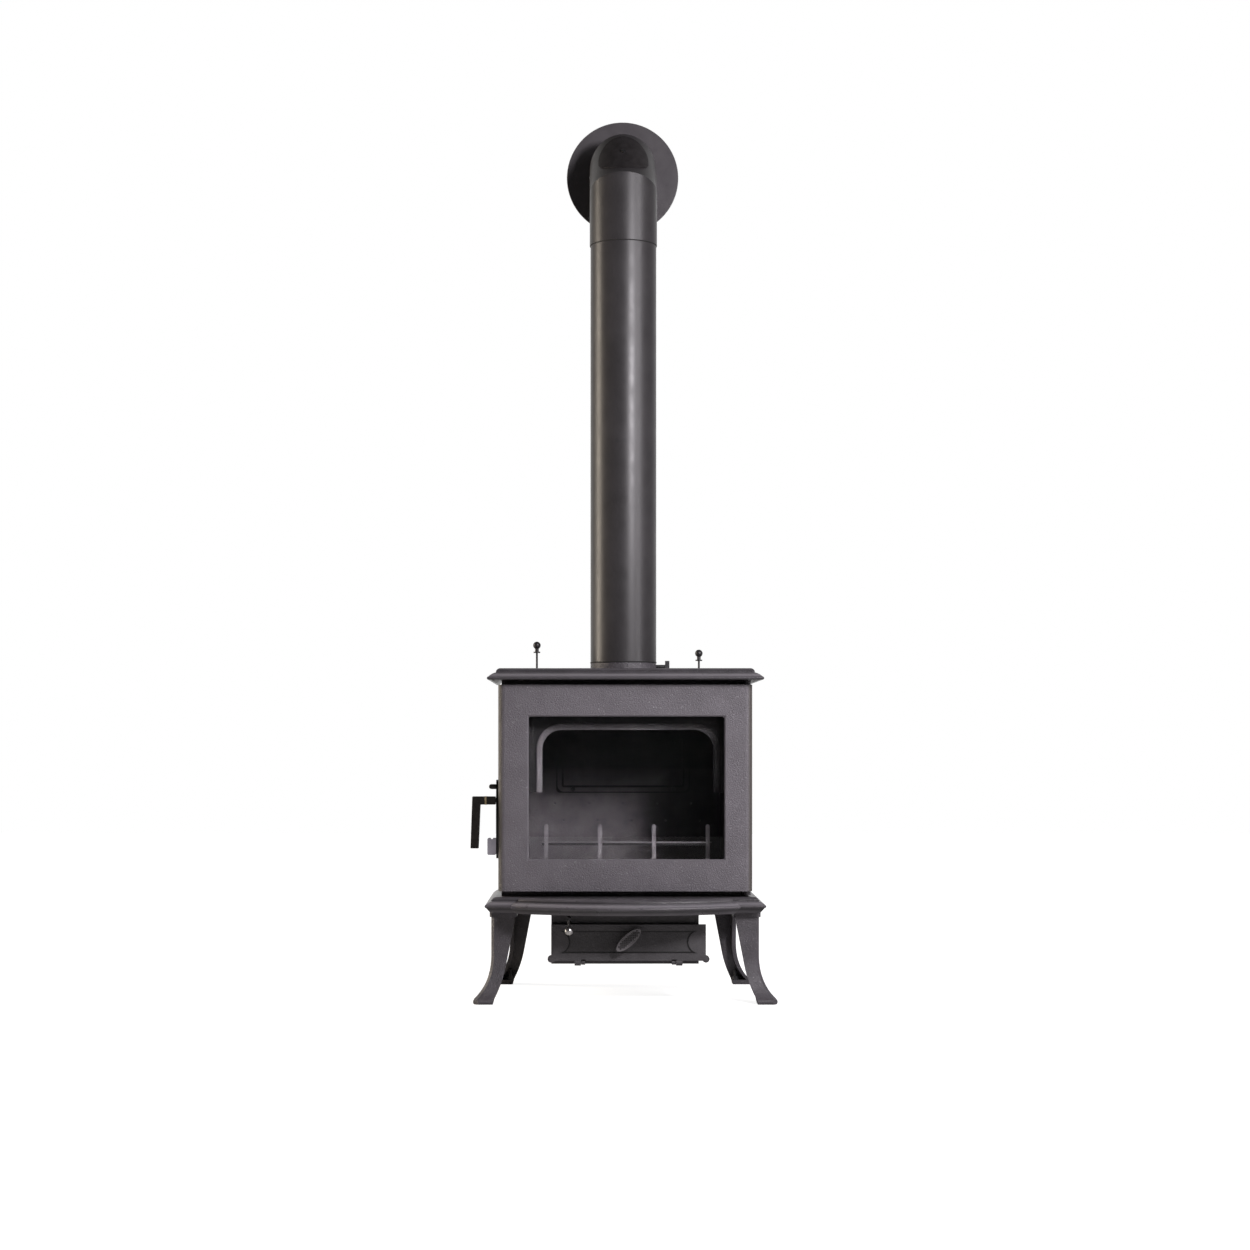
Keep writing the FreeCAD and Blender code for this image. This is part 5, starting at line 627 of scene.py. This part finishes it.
def shade_bead(name, level, across, tall):
    """A round bead pressed against the pipe, spun once round its axis."""
    build = bmesh.new()
    section = Matrix(((across, 0.0, 0.0, PIPE_RADIUS), (0.0, 0.0, 1.0, FLUE_AXIS.y),
                      (0.0, tall, 0.0, level), (0.0, 0.0, 0.0, 1.0)))
    bmesh.ops.create_circle(build, segments=BEAD_SIDES, radius=1.0, matrix=section)
    bmesh.ops.spin(build, geom=build.verts[:] + build.edges[:], cent=FLUE_AXIS, axis=(0.0, 0.0, 1.0),
                   angle=math.tau, steps=BEAD_STEPS, use_merge=True)
    bmesh.ops.remove_doubles(build, verts=build.verts[:], dist=MERGE_GAP)
    bmesh.ops.recalc_face_normals(build, faces=build.faces[:])
    for face in build.faces:
        face.smooth = True
    bead = piece_from(build, name, shade_bead_finish)
    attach(bead, "stove")


shade_bead("elbow_shade_bead", level=1.7275, across=0.0013, tall=0.0018)
shade_bead("collar_shade_bead", level=0.7585, across=0.0009, tall=0.0016)


# Soot cover on the slanting part of the elbow.
# A pressed oval of sheet steel, rolled to the elbow's curve and drawn down by one screw in its middle.
# It is lifted off to brush the flue out. Its paint is sooty, so it is duller and darker than the pipe's.
COVER_MIDDLE = Vector((0.0, 0.1255, 1.8855))
COVER_UP = Vector((0.0, -math.sqrt(0.5), math.sqrt(0.5)))
COVER_RUN = Vector((0.0, math.sqrt(0.5), math.sqrt(0.5)))
COVER_RADIUS = 0.0803
COVER_SHEET = 0.0013
COVER_HALF_WIDTH = 0.058
COVER_HEAD = 0.0695
COVER_FOOT = 0.069
FOOT_CURVE = 1.703
CORNER_START = 0.88
CORNER_RISE = 0.009
COVER_COLUMNS = 48
COVER_ROWS = 24
SHARP_ANGLE = math.radians(40.0)


def cover_span(share):
    """Foot and head of the cover, along the elbow's run, at a share of its half width."""
    across = COVER_HALF_WIDTH * math.sin(share * math.pi / 2)
    lean = math.asin(across / COVER_RADIUS)
    past = max(0.0, (abs(across) / COVER_HALF_WIDTH - CORNER_START) / (1.0 - CORNER_START))
    rise = CORNER_RISE * (1.0 - math.sqrt(max(0.0, 1.0 - past * past)))
    foot = FOOT_CURVE * COVER_RADIUS * (1.0 - math.cos(lean)) - COVER_FOOT + rise
    return lean, foot, COVER_HEAD * math.cos(share * math.pi / 2)


build = bmesh.new()
bmesh.ops.create_grid(build, x_segments=COVER_COLUMNS, y_segments=COVER_ROWS, size=1.0)
for vert in build.verts:
    lean, foot, head = cover_span(max(-1.0, min(1.0, vert.co.x)))
    along = foot + (head - foot) * (vert.co.y + 1.0) / 2
    outward = COVER_UP * math.cos(lean) + Vector((math.sin(lean), 0.0, 0.0))
    vert.co = COVER_MIDDLE + outward * COVER_RADIUS + COVER_RUN * along
bmesh.ops.recalc_face_normals(build, faces=build.faces[:])
bmesh.ops.solidify(build, geom=build.faces[:], thickness=COVER_SHEET)
bmesh.ops.recalc_face_normals(build, faces=build.faces[:])
for face in build.faces:
    face.smooth = True
made, nodes, links, shader = finish("cover_paint")
links.new(mottled(nodes, links, 0.02, (0.016, 0.014, 0.0145), (0.03, 0.027, 0.028)), shader.inputs["Base Color"])
links.new(uneven(nodes, links, 0.03, 0.52, 0.6), shader.inputs["Roughness"])
shader.inputs["Specular IOR Level"].default_value = 0.3
cover = piece_from(build, "pressed_soot_cover", made)
cover.data.set_sharp_from_angle(angle=SHARP_ANGLE)
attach(cover, "stove")
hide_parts("soot_cover")


# Floor, light and camera.
# A pale floor under an even white surround, with a dim room on the camera's side.
# Two cool window lights stand on the right and a warm one on the left.
FLOOR_HALF = 9.0
SHADOW_REACH = 0.3
FLOOR_FADE = 1.1
FLOOR_PALE = 0.86
WALL_START = 0.6
WALL_END = 2.0
ROOM_DIM = 0.015
made, nodes, links, shader = finish("pale_floor")
shader.inputs["Base Color"].default_value = (0.6, 0.6, 0.6, 1.0)
shader.inputs["Roughness"].default_value = 0.9
shader.inputs["Emission Color"].default_value = (1.0, 1.0, 1.0, 1.0)
rays = nodes.new("ShaderNodeLightPath")
place = nodes.new("ShaderNodeTexCoord")
away = vector_step(nodes, links, "LENGTH", place.outputs["Object"])
pale = spread(nodes, links, away, SHADOW_REACH, FLOOR_FADE, FLOOR_PALE, 1.0)
mirrored = figure(nodes, links, "MAXIMUM", rays.outputs["Is Glossy Ray"], rays.outputs["Is Transmission Ray"])
wallward = spread(nodes, links, place_on(nodes, links)[1], WALL_START, WALL_END, ROOM_DIM, 1.0)
mirrored = figure(nodes, links, "MULTIPLY", mirrored, wallward)
seen = figure(nodes, links, "MAXIMUM", rays.outputs["Is Camera Ray"], mirrored)
links.new(figure(nodes, links, "MULTIPLY", pale, seen), shader.inputs["Emission Strength"])
build = bmesh.new()
bmesh.ops.create_grid(build, x_segments=1, y_segments=1, size=FLOOR_HALF)
piece_from(build, "floor", made)

ROOM_FRONT = 0.4
WALL_SIDE = 1.0
ROOM_FILL = 0.055
world = bpy.data.worlds.new("studio")
bpy.context.scene.world = world
world.use_nodes = True
nodes = world.node_tree.nodes
links = world.node_tree.links
rays = nodes.new("ShaderNodeLightPath")
facing = nodes.new("ShaderNodeTexCoord")
split = nodes.new("ShaderNodeSeparateXYZ")
links.new(facing.outputs["Generated"], split.inputs["Vector"])
wallward = spread(nodes, links, split.outputs["Y"], ROOM_FRONT, WALL_SIDE, ROOM_DIM, 1.0)
lit = nodes.new("ShaderNodeMix")
links.new(rays.outputs["Is Diffuse Ray"], lit.inputs["Factor"])
links.new(figure(nodes, links, "MAXIMUM", wallward, rays.outputs["Is Camera Ray"]), lit.inputs["A"])
lit.inputs["B"].default_value = ROOM_FILL
nodes["Background"].inputs["Color"].default_value = (1.0, 1.0, 1.0, 1.0)
links.new(lit.outputs["Result"], nodes["Background"].inputs["Strength"])

COOL_LIGHT = (1.0, 0.96, 1.0)
WARM_LIGHT = (1.0, 0.88, 0.74)


def window_light(name, place, aim, width, height, watts, colour):
    lamp = bpy.data.lights.new(name, "AREA")
    lamp.shape = "RECTANGLE"
    lamp.size = width
    lamp.size_y = height
    lamp.energy = watts
    lamp.color = colour
    held = bpy.data.objects.new(name, lamp)
    held.location = place
    held.rotation_euler = (Vector(aim) - Vector(place)).to_track_quat("-Z", "Y").to_euler()
    bpy.context.scene.collection.objects.link(held)


window_light("right_window", (1.36, -2.46, 1.86), aim=(0.0, 0.0, 0.7), width=0.4, height=0.5,
             watts=66.0, colour=COOL_LIGHT)
window_light("side_window", (2.5, -1.75, 2.0), aim=(0.0, 0.0, 1.3), width=0.6, height=2.4,
             watts=42.0, colour=COOL_LIGHT)
window_light("left_window", (-2.4, 0.35, 1.2), aim=(0.0, 0.0, 1.0), width=0.5, height=2.4,
             watts=50.0, colour=WARM_LIGHT)

CAMERA_PLACE = (-0.073, -5.146, 0.572)
camera = bpy.data.cameras.new("camera")
camera.lens = 64.8
camera.sensor_width = 36.0
camera.shift_x = 0.0264
camera.shift_y = 0.0944
held = bpy.data.objects.new("camera", camera)
held.location = CAMERA_PLACE
held.rotation_euler = (math.radians(90), 0.0, 0.0)
bpy.context.scene.collection.objects.link(held)
bpy.context.scene.camera = held
bpy.context.scene.view_settings.view_transform = "Standard"
